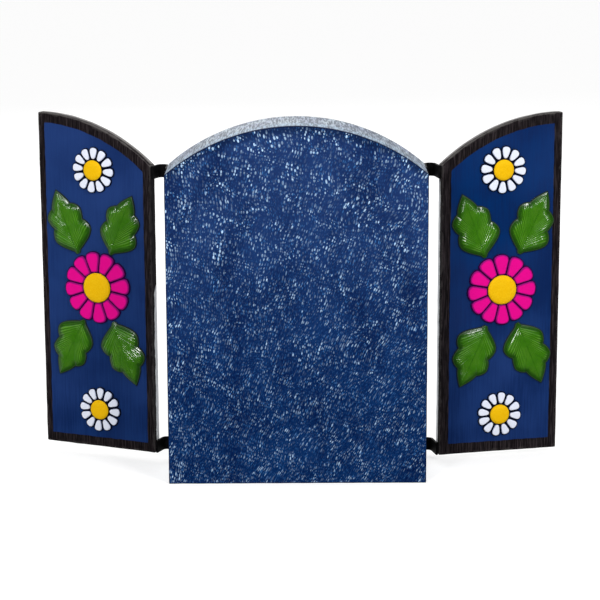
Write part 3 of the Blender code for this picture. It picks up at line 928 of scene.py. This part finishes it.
def flower_surface(form, centre_share, shape, sizes, seed):
    """A flower on a polar grid, closed below.

    A petal stands up like a pad wherever a point is inside it, and slopes to its outer end. The centre is a
    dome: the fourth powers of its height and of the distance from the middle, as shares, add up to 1.
    """
    count, steps = len(form.petals), sizes.petal_steps
    radius, centre = form.radius, centre_share * form.radius
    before = np.roll(form.petals, 1)
    before[0] -= 2 * math.pi
    groove = (before + form.petals) / 2
    after = np.append(groove[1:], groove[0] + 2 * math.pi)
    sweep = np.arange(steps) / steps * 2 - 1
    first, last = (form.petals - groove)[:, None], (after - form.petals)[:, None]
    angle = (form.petals[:, None] + np.where(sweep < 0, sweep * first, sweep * last)).ravel()
    nominal = np.tile(sweep * math.pi / count, count)

    def inside_at(reach):
        along, across = reach * np.cos(nominal), reach * np.sin(nominal)
        return inside_petal(along, across, radius, centre, math.pi / count, shape)

    trial = np.linspace(sizes.groove_reach * radius, radius, OUTLINE_TRIALS)[:, None]
    outline = np.where(inside_at(trial) > -shape.rim, trial, trial[0]).max(0)
    outline = (outline + (np.roll(outline, 1) + np.roll(outline, -1)) / 2) / 2

    dome = np.sin(np.linspace(0, math.pi / 2, sizes.dome_rings + 1))[1:] * centre
    share = np.linspace(0, 1, sizes.petal_rings + 1)[1:]
    share = share + PETAL_RINGS_CROWDED * np.sin(2 * math.pi * share) / math.pi
    rings = [np.full_like(angle, reach) for reach in dome]
    rings += [centre + part * (outline - centre) for part in share]
    reach = np.stack(rings)

    inside = inside_at(reach)
    slope = sizes.petal_crown * np.clip((reach - centre) / (radius - centre), 0, 1) ** 2
    top = sizes.petal_height - slope - sizes.groove_floor
    pad = sizes.groove_floor + top * rolled(inside, sizes.petal_round)
    button = sizes.centre_height * np.maximum(1 - (reach / centre) ** 4, 0) ** 0.25
    plane = np.stack([reach * np.cos(angle), reach * np.sin(angle)], -1).reshape(-1, 2)
    lump = soft_field(plane, LUMP_SIZE, seed).reshape(reach.shape)
    button -= LUMP_DEPTH * (1 + lump) * (reach < 0.9 * centre)
    height = np.maximum(np.where(reach <= centre, button, 0), np.where(reach > centre * 0.98, pad, 0))

    reach = np.vstack([reach, outline, outline])
    height = np.vstack([height, np.full_like(angle, sizes.groove_floor / 2), np.zeros_like(angle)])
    inside = np.vstack([inside, np.zeros((2, angle.size))])
    within = centre - reach
    rows, around = reach.shape
    x, y = reach * np.cos(angle), reach * np.sin(angle)
    top, bottom = [0.0, 0.0, sizes.centre_height - LUMP_DEPTH], [0.0, 0.0, 0.0]
    points = np.concatenate([np.stack([x, y, height], -1).reshape(-1, 3), [top, bottom]])
    inside = np.append(inside.ravel(), [-radius, -radius])
    within = np.append(within.ravel(), [centre, centre])

    grid = np.arange(rows * around).reshape(rows, around)
    grid = np.column_stack([grid, grid[:, 0]])
    faces = quads(grid).tolist() + fan(rows * around, grid[0, :-1], grid[0, 1:])
    faces += fan(rows * around + 1, grid[-1, 1:], grid[-1, :-1])
    return Surface(points, faces, {"flat": points, "inside_petal": inside, "inside_centre": within})


class LeafForm(NamedTuple):
    """A leaf read off its solid: the spot of its stem, its length and its lean off upright."""

    spot: Spot
    length: float
    lean: float


def read_leaf(name, door):
    """The leaf's line is the solid's longest. Its tip is the sharp end, where more corners crowd."""
    points, face_y = seen_from_outside(name, door)
    plan = points[:, :2]
    gaps = np.linalg.norm(plan[:, None] - plan[None], axis=2)
    ends = np.unravel_index(gaps.argmax(), gaps.shape)
    crowd = [(gaps[end] < NEAR_TIP).sum() for end in ends]
    tip_end, stem_end = ends if crowd[0] > crowd[1] else ends[::-1]
    tip = plan[gaps[tip_end] < NEAR_TIP].mean(0)
    towards = (plan[stem_end] - tip) / np.linalg.norm(plan[stem_end] - tip)
    depth = (plan - tip) @ towards
    stem_row = plan[depth > depth.max() - STEM_SHARE * depth.max()]
    stem = (stem_row.min(0) + stem_row.max(0)) / 2
    reach = tip - stem
    spot = Spot(door.side * stem[0], face_y, stem[1])
    return LeafForm(spot, float(np.linalg.norm(reach)), math.atan2(reach[0], reach[1]))


# A leaf's outline from its stem to its tip, in shares of its length: along, half width left and right, and
# the way there from the point before
LEAF_OUTLINE = (
    (0.0, 0.030, 0.030, "start"),
    (0.045, 0.056, 0.066, "straight"),
    (0.31, 0.300, 0.345, "rise"),
    (0.46, 0.246, 0.262, "fall"),
    (0.61, 0.302, 0.290, "swell"),
    (0.745, 0.176, 0.150, "fall"),
    (1.0, 0.0, 0.0, "tip"),
)

# The valleys between its lobes: where each starts on the midrib and its half width, in shares of its length
LEAF_VALLEYS = ((0.18, 0.017), (0.41, 0.020))

# How sharp the tops of the combed lines are, below 1
COMB_SHARPNESS = 0.95


def quarter_wave(way):
    """The first quarter of a sine wave: from 0 to 1, ever slower."""
    return np.sin(math.pi / 2 * way)


def leaf_half_widths(along):
    """Half a leaf's width on its left and right.

    It rises from the stem like a quarter wave. A lobe swells from its notches half like a quarter wave and
    half like a quarter circle. The tip narrows with the power 1.4 of the way.
    """
    left, right = np.zeros_like(along), np.zeros_like(along)
    for before, point in zip(LEAF_OUTLINE, LEAF_OUTLINE[1:]):
        way = np.clip((along - before[0]) / (point[0] - before[0]), 0, 1)
        ease = {
            "straight": way,
            "rise": quarter_wave(way),
            "swell": (quarter_wave(way) + rolled(way, 1.0)) / 2,
            "fall": 1 - (quarter_wave(1 - way) + rolled(1 - way, 1.0)) / 2,
            "tip": way**1.4,
        }[point[3]]
        here = (along >= before[0]) & (along <= point[0])
        left = np.where(here, before[1] + ease * (point[1] - before[1]), left)
        right = np.where(here, before[2] + ease * (point[2] - before[2]), right)
    return left, right


def leaf_surface(form, sizes, seed):
    """A leaf on a grid: share runs from the stem to the tip, and u from edge to edge.

    It swells from its outline like a pillow, which parts its lobes at the notches: height grows evenly with
    the distance to the outline, then levels off like a parabola. A vein that starts at a root on the midrib
    sweeps forward: root = (share - a·x) / (1 + b·x), with x the distance from the midrib, so veins stand wide
    at the stem and close at the tip. Two dips in root part the lobes further in. Combed lines, a triangle
    wave with rounded ends in root, follow the veins.
    """
    length = form.length
    even = np.linspace(0, 1, sizes.leaf_rows)
    share = LEAF_ROWS_CROWDED * (1 - np.cos(math.pi * even)) / 2 + (1 - LEAF_ROWS_CROWDED) * even
    u = np.linspace(-1, 1, sizes.leaf_columns)
    out = np.abs(u)
    u = np.sign(u) * ((1 - LEAF_COLUMNS_CROWDED) * out + LEAF_COLUMNS_CROWDED * quarter_wave(out))
    left, right = leaf_half_widths(share)
    blunt = np.sqrt(1 - np.clip((share - 1 + sizes.tip_round) / sizes.tip_round, 0, 1) ** 2)
    left, right = left * blunt, right * blunt
    half = np.where(u < 0, left[:, None], right[:, None]) * length
    x = u * half
    y = np.broadcast_to((share * length)[:, None], x.shape)

    beside = np.abs(x) / length
    root = (share[:, None] - sizes.vein_spread * beside) / (1 + sizes.vein_sweep * beside)
    out = np.abs(u)
    edge = np.stack([x[:, [0, -1]], y[:, [0, -1]]], -1).reshape(-1, 1, 2)
    inside = nearest_distance(np.stack([x, y], -1).reshape(-1, 2), edge[:, 0]).reshape(x.shape)
    even, top = sizes.leaf_slope, sizes.leaf_swell - sizes.leaf_slope
    way = np.clip((inside - even) / top, 0, 1)
    pillow = (np.minimum(inside, even) + top * (way - way**2 / 2)) / (even + top / 2)

    # A valley is deepest at the leaf's edge, and the groove along the midrib fades towards the tip
    valley = np.zeros_like(x)
    for middle, width in LEAF_VALLEYS:
        valley = np.maximum(valley, (0.1 + 0.9 * out**2) * np.exp(-(((root - middle) / width) ** 2)))
    midrib = np.exp(-((x / sizes.midrib_width) ** 2)) * np.clip(1.6 - share, 0, 1)[:, None]
    whole = sizes.leaf_crest - sizes.leaf_foot
    body = whole * pillow * (1 - sizes.valley_depth * valley)
    body -= (sizes.leaf_crest - sizes.leaf_midrib) * midrib * pillow
    plane = np.stack([x.ravel(), y.ravel()], 1)
    waver = 0.7 * soft_field(plane, 9 * MM, seed + 1).reshape(x.shape)
    swing = np.cos(2 * math.pi * root * length / sizes.comb_step + waver)
    wave = np.arcsin(COMB_SHARPNESS * swing) / math.asin(COMB_SHARPNESS)
    patch = np.clip(0.9 + 0.6 * soft_field(plane, 12 * MM, seed).reshape(x.shape), 0.5, 1.2)
    fade = rising(inside, 1.5 * MM, 4.5 * MM) * rising(np.abs(x), 0.0, 0.8 * MM) * patch
    height = sizes.leaf_foot + body - sizes.comb_depth * (0.5 + 0.5 * wave) * fade
    height = np.clip(height, sizes.leaf_foot / 2, sizes.leaf_crest)

    rows, columns = x.shape
    ring = np.concatenate([
        np.arange(columns),
        np.arange(2, rows) * columns - 1,
        np.arange(rows * columns - 1, (rows - 1) * columns - 1, -1),
        np.arange(rows - 2, 0, -1) * columns,
    ])
    plan = np.stack([x, y, height], -1).reshape(-1, 3)
    foot = plan[ring] * [1, 1, 0]
    points = np.concatenate([plan, foot, [[0.0, length / 2, 0.0]]])
    lower = rows * columns + np.arange(len(ring))
    after = np.roll(lower, -1)
    faces = quads(np.arange(rows * columns).reshape(rows, columns).T).tolist()
    faces += np.stack([ring, lower, after, np.roll(ring, -1)], -1).tolist()
    faces += fan(len(points) - 1, after, lower)
    values = {
        "height": body / whole,
        "comb": (0.5 - 0.5 * wave) * fade,
        "inside_leaf": inside,
    }
    values = {key: np.append(value.ravel(), np.zeros(len(ring) + 1)) for key, value in values.items()}
    leaning = np.stack([*swung(points[:, 0], points[:, 1], -form.lean), points[:, 2]], 1)
    return Surface(leaning, faces, {"flat": points, **values})


def nearest_distance(points, line):
    """Each point's distance to the nearest of the corners on a dense line."""
    squares = (points**2).sum(1)[:, None] + (line**2).sum(1) - 2 * points @ line.T
    return np.sqrt(np.maximum(squares.min(1), 0))


# Settings


def kind_of(make, note="", **settings):
    """A short way to write settings of one kind, each from its name, description and default."""

    def setting(name, description, default):
        return make(name=name, description=description + note, default=default, **settings)

    return setting


plain = kind_of(bpy.props.FloatProperty)
share = kind_of(bpy.props.FloatProperty, min=0.0, max=3.0)
number = kind_of(bpy.props.IntProperty, min=4)
turn = kind_of(bpy.props.FloatProperty, unit="ROTATION")
length = kind_of(bpy.props.FloatProperty, min=0.0, precision=5, unit="LENGTH")
place = kind_of(bpy.props.FloatVectorProperty, precision=5, unit="LENGTH")
pair = kind_of(
    bpy.props.FloatVectorProperty, ": right door, left door", size=2, min=0.0, precision=5, unit="LENGTH"
)
colour = kind_of(bpy.props.FloatVectorProperty, size=3, min=0.0, max=1.0, subtype="COLOR")


class RetabloBoards(bpy.types.PropertyGroup):
    """Sizes of the boards, their paint's marks and the straps"""

    board_round: length("Board rounding", "Radius of the box's board edges", 0.6 * MM)
    board_dent: length("Board wear", "How deep the box's edges are worn", 0.2 * MM)
    dab_across: length("Dab spacing across", "Distance between dabs across the back panel", 1.8 * MM)
    dab_along: length("Dab spacing along", "Distance between dabs up the back panel", 2.9 * MM)
    dab_lean: plain("Dab lean", "How far the dabs lean to the right per height", 0.32)
    dab_lean_across: plain("Lean across", "How much more they lean per metre to the right", 1.6)
    dab_lean_up: plain("Lean up", "How much less they lean per metre of height", 1.6)
    dab_row_fall: plain("Row fall", "How far a row of dabs falls to the right", 0.3)
    dab_inside: share("Dabs inside", "How strong the dabs are on the panel's inner face", 0.3)
    wash_thick: length("Thick wash", "How far in front of the panel the wash grows thick", 22 * MM)
    wash_clean: share("Plainer wash", "How white the ground of the sides and bottom is", 0.65)
    door_round: length("Door rounding", "Radius of the doors' edges", 0.9 * MM)
    door_dent: length("Door wear", "How deep the doors' edges are worn", 0.3 * MM)
    border_hinge: pair("Border at the hinge", "Black border's width there", (6.5 * MM, 7.9 * MM))
    border_free: pair("Border at the free edge", "Black border's width there", (5.7 * MM, 6.8 * MM))
    border_foot: pair("Border at the foot", "Black border's width there", (7.9 * MM, 8.9 * MM))
    border_top: pair("Border at the top", "Black border's width there", (7.9 * MM, 8.5 * MM))
    border_lap: length("Border lap", "How far the black border laps over the doors' edges", 3.2 * MM)
    edge_dark_from: pair("Dark edge from", "Where the hinge edge turns black", (150 * MM, 238 * MM))
    strap_thick: length("Strap thickness", "Thickness of the leather", 1.8 * MM)
    strap_loop: length("Strap loop", "Radius of a strap's loop, at the middle of the leather", 4.2 * MM)
    strap_short: length("Strap setback", "How far a strap ends short of the door's outer face", 0.6 * MM)
    strap_round: length("Strap rounding", "Radius of the straps' edges", 0.45 * MM)
    strap_dent: length("Strap wear", "How deep the straps' edges are worn", 0.15 * MM)


class RetabloOrnaments(bpy.types.PropertyGroup):
    """Sizes of the flowers and leaves"""

    rosette_centre: share("Rosette centre", "A rosette centre's radius, as a share of the flower's", 0.413)
    daisy_centre: share("Daisy centre", "A daisy centre's radius, as a share of the flower's", 0.439)
    daisy_side: length("Daisy side", "How far in the shade of a daisy's petals reaches", 0.25 * MM)
    rosette_side: length("Rosette side", "How far in the shade of a rosette's petals reaches", 1.25 * MM)
    daisy_gap: length("Daisy gap", "Width of the groove between a daisy's petals", 1.6 * MM)
    daisy_end: share("Daisy petal end", "A petal end's radius, as a share of the flower's", 0.25)
    rosette_gap: length("Rosette gap", "Width of the groove between a rosette's petals", 0.8 * MM)
    rosette_end: share("Rosette petal end", "A petal end's radius, as a share of the flower's", 0.33)
    ground_rim: length("Ground rim", "How far the dark ground shows round the petals", 0.7 * MM)
    petal_height: length("Petal height", "Height of a petal's top", 2.6 * MM)
    petal_crown: length("Petal slope", "How much lower a petal is at its outer end", 0.4 * MM)
    petal_round: length("Petal rounding", "Radius of a petal's upper edge", 0.8 * MM)
    petal_corner: share("Petal corners", "Rounding of a petal's corners, as a share of the radius", 0.10)
    groove_floor: length("Groove floor", "Height of the ground between petals", 0.8 * MM)
    groove_reach: share("Groove reach", "Where the ground between petals ends, in radii", 0.86)
    centre_height: length("Centre height", "Height of a flower's centre", 4.2 * MM)
    petal_steps: number("Petal steps", "Grid steps across each petal", 34)
    petal_rings: number("Petal rings", "Grid rings along the petals", 44)
    dome_rings: number("Dome rings", "Grid rings on a flower's centre", 16)
    leaf_foot: length("Leaf foot", "Height of the upright edge under a leaf's rounding", 0.9 * MM)
    leaf_crest: length("Leaf crest", "Greatest height of a leaf", 3.0 * MM)
    leaf_midrib: length("Leaf midrib", "Height of a leaf's midrib", 2.9 * MM)
    midrib_width: length("Midrib width", "Half width of the groove along the midrib", 0.7 * MM)
    leaf_slope: length("Leaf slope", "How far in a leaf rises evenly", 4.0 * MM)
    leaf_swell: length("Leaf swelling", "How far in a leaf goes on rising", 7.0 * MM)
    tip_round: share("Tip rounding", "Part of a leaf's length over which its tip is blunted", 0.03)
    valley_depth: share("Valley depth", "Depth of the valleys between lobes, in heights", 0.55)
    vein_spread: share("Vein spread", "How wide the veins stand at the stem", 0.6)
    vein_sweep: share("Vein sweep", "How much closer to the midrib they lean towards the tip", 3.0)
    comb_step: length("Comb step", "Distance between combed lines", 1.75 * MM)
    comb_depth: length("Comb depth", "Depth of the combed lines", 0.46 * MM)
    leaf_rows: number("Leaf rows", "Grid rows from stem to tip", 210)
    leaf_columns: number("Leaf columns", "Grid columns from edge to edge", 130)


class RetabloPaint(bpy.types.PropertyGroup):
    """Colours"""

    blue: colour("Royal blue", "Back panel, lighter tone", (0.0022, 0.0265, 0.117))
    blue_deep: colour("Deep blue", "Back panel, darker tone", (0.0001, 0.0065, 0.050))
    blue_pale: colour("Pale blue", "Back panel, higher up", (0.0210, 0.0480, 0.165))
    # Painted shade along the back panel's top edge, and its dark edges
    blue_edge: colour("Dark edge", "Back panel at its edges", (0.0020, 0.0080, 0.034))
    fleck: colour("Fleck", "Brightest flecks", (0.46, 0.66, 0.91))
    fleck_shade: colour("Faint fleck", "Faint flecks", (0.040, 0.155, 0.40))
    white_wash: colour("White wash", "Brushed white paint", (0.43, 0.51, 0.575))
    wash_ground: colour("Wash ground", "Grey that shows through the white", (0.095, 0.115, 0.155))
    wash_blue: colour("Blue wash", "White paint next to the back panel", (0.305, 0.42, 0.555))
    wash_tint: colour("Wash tint", "Bluer patches in the white paint", (0.33, 0.375, 0.49))
    bare_edge: colour("Bare edge", "Edges of white boards, rubbed dark", (0.12, 0.13, 0.15))
    navy: colour("Navy", "Door field, lighter tone", (0.0105, 0.0340, 0.142))
    navy_green: colour("Greenish navy", "Door field, greener patches", (0.0002, 0.0230, 0.115))
    navy_light: colour("Light navy", "Door field, lightest patches", (0.0190, 0.0500, 0.190))
    navy_deep: colour("Deep navy", "Door field, darker tone", (0.0025, 0.0155, 0.082))
    border: colour("Border", "Door border", (0.0060, 0.0045, 0.0055))
    border_streak: colour("Border streaks", "Streaks in the door border", (0.042, 0.033, 0.036))
    edge_grey: colour("Edge grey", "Grey of the doors' edges", (0.095, 0.088, 0.085))
    edge_light: colour("Light edge", "The doors' edges next to the inner face", (0.25, 0.24, 0.235))
    edge_white: colour("White edge", "White primer on the doors' hinge edges", (0.93, 0.92, 0.90))
    edge_dark: colour("Edge dark", "Dark streaks on the doors' edges", (0.022, 0.019, 0.020))
    gesso: colour("Gesso", "White paint on the doors' inner faces", (0.78, 0.78, 0.75))
    gesso_shade: colour("Gesso shade", "Brush marks in that white paint", (0.66, 0.66, 0.64))
    leather: colour("Leather", "Black leather", (0.0022, 0.0020, 0.0024))
    leather_worn: colour("Worn leather", "Leather where it is rubbed", (0.0090, 0.0080, 0.0085))
    daisy_ground: colour("Daisy ground", "Dark paint between a daisy's petals", (0.0006, 0.0030, 0.0150))
    rosette_ground: colour("Rosette ground", "Dark paint between a rosette's petals", (0.020, 0.0003, 0.045))
    white_petal: colour("White petal", "Daisy petals", (0.775, 0.81, 0.925))
    # Painted shade on the daisy petals' sides
    white_petal_side: colour("White petal side", "Daisy petals at their edges", (0.42, 0.47, 0.66))
    magenta: colour("Magenta petal", "Rosette petals", (0.76, 0.0022, 0.250))
    # Painted shade on the rosette petals' sides
    magenta_side: colour("Magenta petal side", "Rosette petals at their edges", (0.28, 0.0060, 0.165))
    yellow: colour("Yellow", "Flower centres", (0.83, 0.46, 0.0006))
    yellow_light: colour("Light yellow", "Grain of flower centres", (0.88, 0.54, 0.010))
    green: colour("Green", "Leaf crests", (0.036, 0.168, 0.0004))
    # Painted shade in leaf valleys
    green_deep: colour("Deep green", "Leaf valleys", (0.011, 0.066, 0.0001))
    # Painted highlight on combed lines of the leaves
    green_light: colour("Light green", "Combed lines on leaves", (0.110, 0.30, 0.015))
    # Painted shadow at leaf edges
    green_shadow: colour("Green shadow", "Leaf edges", (0.0006, 0.012, 0.004))


class RetabloStage(bpy.types.PropertyGroup):
    """The camera, light and floor"""

    camera_place: place("Camera place", "Where the camera stands", (0.0026, 1.5685, 0.4756))
    camera_pitch: turn("Camera pitch", "How far the camera looks up", -0.21135)
    camera_yaw: turn("Camera yaw", "How far the camera turns left", -0.0032)
    camera_roll: turn("Camera roll", "How far the camera leans", -0.0036)
    camera_lens: plain("Lens", "Focal length in millimetres", 123.69)
    sky: share("Sky light", "Strength of the light from all round", 0.80)
    floor_size: length("Floor", "Width of the floor", 16.0)
    floor: colour("Floor colour", "Pale floor", (0.50, 0.50, 0.50))
    floor_glow: share("Floor glow", "How far the floor is lit from below, as a light table is", 0.60)


GROUPS = {
    "retablo_boards": RetabloBoards,
    "retablo_ornaments": RetabloOrnaments,
    "retablo_paint": RetabloPaint,
    "retablo_stage": RetabloStage,
}


# Operators


class RETABLO_OT_box(bpy.types.Operator):
    """Dress the box: its back panel, arched top, sides and bottom"""

    bl_idname = "retablo.box"
    bl_label = "Box"

    def execute(self, context):
        sizes, paint = context.scene.retablo_boards, context.scene.retablo_paint
        box = read_box()
        blue = royal_blue_finish(paint, box.side_height)
        make_piece("back_panel", back_panel_surface(box, sizes), blue, "box")
        near_panel = box.boards_back_y - sizes.wash_thick
        arched = white_wash(paint, "brushed white on the arched top", near_panel=near_panel)
        make_piece("arched_top", arched_top_surface(box, sizes), arched, "box")
        plainer = white_wash(paint, "brushed white on the sides and bottom", clean=sizes.wash_clean)
        for name, side in (("right_side_board", 1), ("left_side_board", -1)):
            make_piece(name, side_board_surface(name, box, sizes, side), plainer, "box")
        make_piece("bottom_board", bottom_board_surface(sizes), plainer, "box")
        return {"FINISHED"}


class RETABLO_OT_doors(bpy.types.Operator):
    """Dress both doors"""

    bl_idname = "retablo.doors"
    bl_label = "Doors"

    def execute(self, context):
        sizes, paint = context.scene.retablo_boards, context.scene.retablo_paint
        finish = door_finish(paint)
        for door in doors_of_the_frame():
            make_piece(door.name, door_surface(door, sizes), finish, door.name)
        return {"FINISHED"}


class RETABLO_OT_straps(bpy.types.Operator):
    """Make the four leather hinge straps"""

    bl_idname = "retablo.straps"
    bl_label = "Straps"

    def execute(self, context):
        sizes, paint = context.scene.retablo_boards, context.scene.retablo_paint
        leather = leather_finish(paint)
        box = read_box()
        for door in doors_of_the_frame():
            bend_start = (door.side * (box.half_width + BEND_START), 0.0, 0.0)
            bend_end = (door.side * (box.half_width + BEND_END), 0.0, 0.0)
            bend = ("box", door.name, bend_start, bend_end)
            for end in ("top", "bottom"):
                name = f"{door.name}_{end}_strap"
                surface = strap_surface(box, door, name, sizes)
                make_piece(name, surface, leather, None, blended=bend)
        return {"FINISHED"}


class RETABLO_OT_flowers(bpy.types.Operator):
    """Make the six moulded flowers"""

    bl_idname = "retablo.flowers"
    bl_label = "Flowers"

    def execute(self, context):
        sizes, paint = context.scene.retablo_ornaments, context.scene.retablo_paint
        white = (paint.white_petal, paint.white_petal_side, paint.daisy_ground, sizes.daisy_side)
        magenta = (paint.magenta, paint.magenta_side, paint.rosette_ground, sizes.rosette_side)
        finishes = {
            "daisy": petal_finish("white daisy paint", paint, *white),
            "rosette": petal_finish("magenta rosette paint", paint, *magenta),
        }
        for door in doors_of_the_frame():
            for seed, place in enumerate(("top_daisy", "rosette", "bottom_daisy")):
                name, kind = f"{door.name}_{place}", place.split("_")[-1]
                form = read_flower(name, door)
                centre, gap, end = (getattr(sizes, f"{kind}_{part}") for part in ("centre", "gap", "end"))
                corner = sizes.petal_corner * form.radius
                shape = PetalShape(gap, end * form.radius, corner, sizes.ground_rim)
                surface = flower_surface(form, centre, shape, sizes, seed)
                stick_on(name, surface, form.spot, door, finishes[kind])
        return {"FINISHED"}


class RETABLO_OT_leaves(bpy.types.Operator):
    """Make the eight moulded leaves"""

    bl_idname = "retablo.leaves"
    bl_label = "Leaves"

    def execute(self, context):
        sizes, paint = context.scene.retablo_ornaments, context.scene.retablo_paint
        green = leaf_finish(paint)
        for door in doors_of_the_frame():
            for seed, place in enumerate(("upper_outer", "upper_inner", "lower_outer", "lower_inner")):
                name = f"{door.name}_{place}_leaf"
                form = read_leaf(name, door)
                surface = leaf_surface(form, sizes, 10 * seed + 3)
                stick_on(name, surface, form.spot, door, green)
        return {"FINISHED"}


# The studio's softboxes: each one's place, width and watts. All point at the box's middle
SOFTBOXES = {
    "key light": ((-0.80, 1.12, 1.04), 0.32, 11.5),
    "fill light": ((0.54, 1.20, 0.70), 0.28, 8.8),
    "front light": ((0.3, -1.6, 1.3), 1.0, 14.0),
}
LIT_PLACE = (0.0, 0.0, 0.14)

# How bright the world is to the camera, and by what share its light is dimmed low behind the camera
WORLD_WHITE = 1.05
LOW_DIMMING = 0.93


def add_softbox(name, place, size, watts):
    """A square area light that points at the box."""
    light = bpy.data.lights.new(name, "AREA")
    light.shape, light.size, light.energy = "SQUARE", size, watts
    lamp = bpy.data.objects.new(name, light)
    lamp.location = place
    lamp.rotation_euler = (Vector(LIT_PLACE) - Vector(place)).to_track_quat("-Z", "Y").to_euler()
    lamp.visible_camera = False
    bpy.context.scene.collection.objects.link(lamp)


def white_backdrop(settings):
    """A world that is plain white to the camera.

    To the rest it is soft light, dim low behind the camera, so that no pale haze is mirrored in the paint.
    """
    world = bpy.data.worlds.new("studio")
    world.use_nodes = True
    shading = Shading(world.node_tree)
    _, y, z = shading.parts(shading.add("ShaderNodeTexCoord", {}).outputs["Generated"])
    low_behind = shading.product(shading.step(y, -0.3, 0.4), shading.step(z, 0.25, 0.75, 1.0, 0.0))
    soft = shading.math("MULTIPLY_ADD", low_behind, -LOW_DIMMING * settings.sky, settings.sky)
    camera_ray = shading.add("ShaderNodeLightPath", {}).outputs["Is Camera Ray"]
    strength = shading.add("ShaderNodeMix", {0: camera_ray, 2: soft, 3: WORLD_WHITE}).outputs[0]
    shading.feed(world.node_tree.nodes["Background"], {"Color": WHITE, "Strength": strength})
    return world


class RETABLO_OT_stage(bpy.types.Operator):
    """Make the pale floor, the soft studio light and the camera"""

    bl_idname = "retablo.stage"
    bl_label = "Stage"

    def execute(self, context):
        scene, settings = context.scene, context.scene.retablo_stage
        half = settings.floor_size / 2
        corners = [(-half, -half, 0), (half, -half, 0), (half, half, 0), (-half, half, 0)]
        mesh = bpy.data.meshes.new("floor")
        mesh.from_pydata(corners, [], [(0, 1, 2, 3)])
        finish = Finish("pale floor", roughness=0.9, specular=0.1)
        camera_ray = finish.add("ShaderNodeLightPath", {}).outputs["Is Camera Ray"]
        glow = finish.product(camera_ray, settings.floor_glow)
        lit = {"Base Color": (*settings.floor, 1.0), "Emission Color": WHITE, "Emission Strength": glow}
        finish.feed(finish.shader, lit)
        mesh.materials.append(finish.material)
        floor = bpy.data.objects.new("floor", mesh)
        scene.collection.objects.link(floor)
        floor.visible_glossy = False

        scene.world = white_backdrop(settings)
        for name, softbox in SOFTBOXES.items():
            add_softbox(name, *softbox)

        lens = bpy.data.cameras.new("camera")
        lens.lens, lens.sensor_width = settings.camera_lens, 36.0
        camera = bpy.data.objects.new("camera", lens)
        level = Euler((math.pi / 2 + settings.camera_pitch, 0.0, math.pi + settings.camera_yaw)).to_matrix()
        turned = level @ Matrix.Rotation(settings.camera_roll, 3, "Z")
        camera.matrix_world = Matrix.Translation(settings.camera_place) @ turned.to_4x4()
        scene.collection.objects.link(camera)
        scene.camera = camera
        scene.view_settings.view_transform = "Standard"
        return {"FINISHED"}


OPERATORS = (
    RETABLO_OT_stage,
    RETABLO_OT_box,
    RETABLO_OT_doors,
    RETABLO_OT_straps,
    RETABLO_OT_flowers,
    RETABLO_OT_leaves,
)


class RETABLO_PT_panel(bpy.types.Panel):
    """The retablo box's steps and settings"""

    bl_idname = "RETABLO_PT_panel"
    bl_label = "Retablo Box"
    bl_space_type = "VIEW_3D"
    bl_region_type = "UI"
    bl_category = "Retablo Box"

    def draw(self, context):
        for operator in OPERATORS:
            self.layout.operator(operator.bl_idname)
        for key, group in GROUPS.items():
            column = self.layout.column(heading=group.__name__)
            for setting in group.__annotations__:
                column.prop(getattr(context.scene, key), setting)


CLASSES = (*GROUPS.values(), *OPERATORS, RETABLO_PT_panel)


def register():
    for thing in CLASSES:
        bpy.utils.register_class(thing)
    for key, group in GROUPS.items():
        setattr(bpy.types.Scene, key, bpy.props.PointerProperty(type=group))


def unregister():
    for key in GROUPS:
        delattr(bpy.types.Scene, key)
    for thing in reversed(CLASSES):
        bpy.utils.unregister_class(thing)


def main():
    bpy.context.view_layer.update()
    register()
    bpy.ops.retablo.stage()
    bpy.ops.retablo.box()
    bpy.ops.retablo.doors()
    bpy.ops.retablo.straps()
    bpy.ops.retablo.flowers()
    bpy.ops.retablo.leaves()


if __name__ == "__main__":
    main()
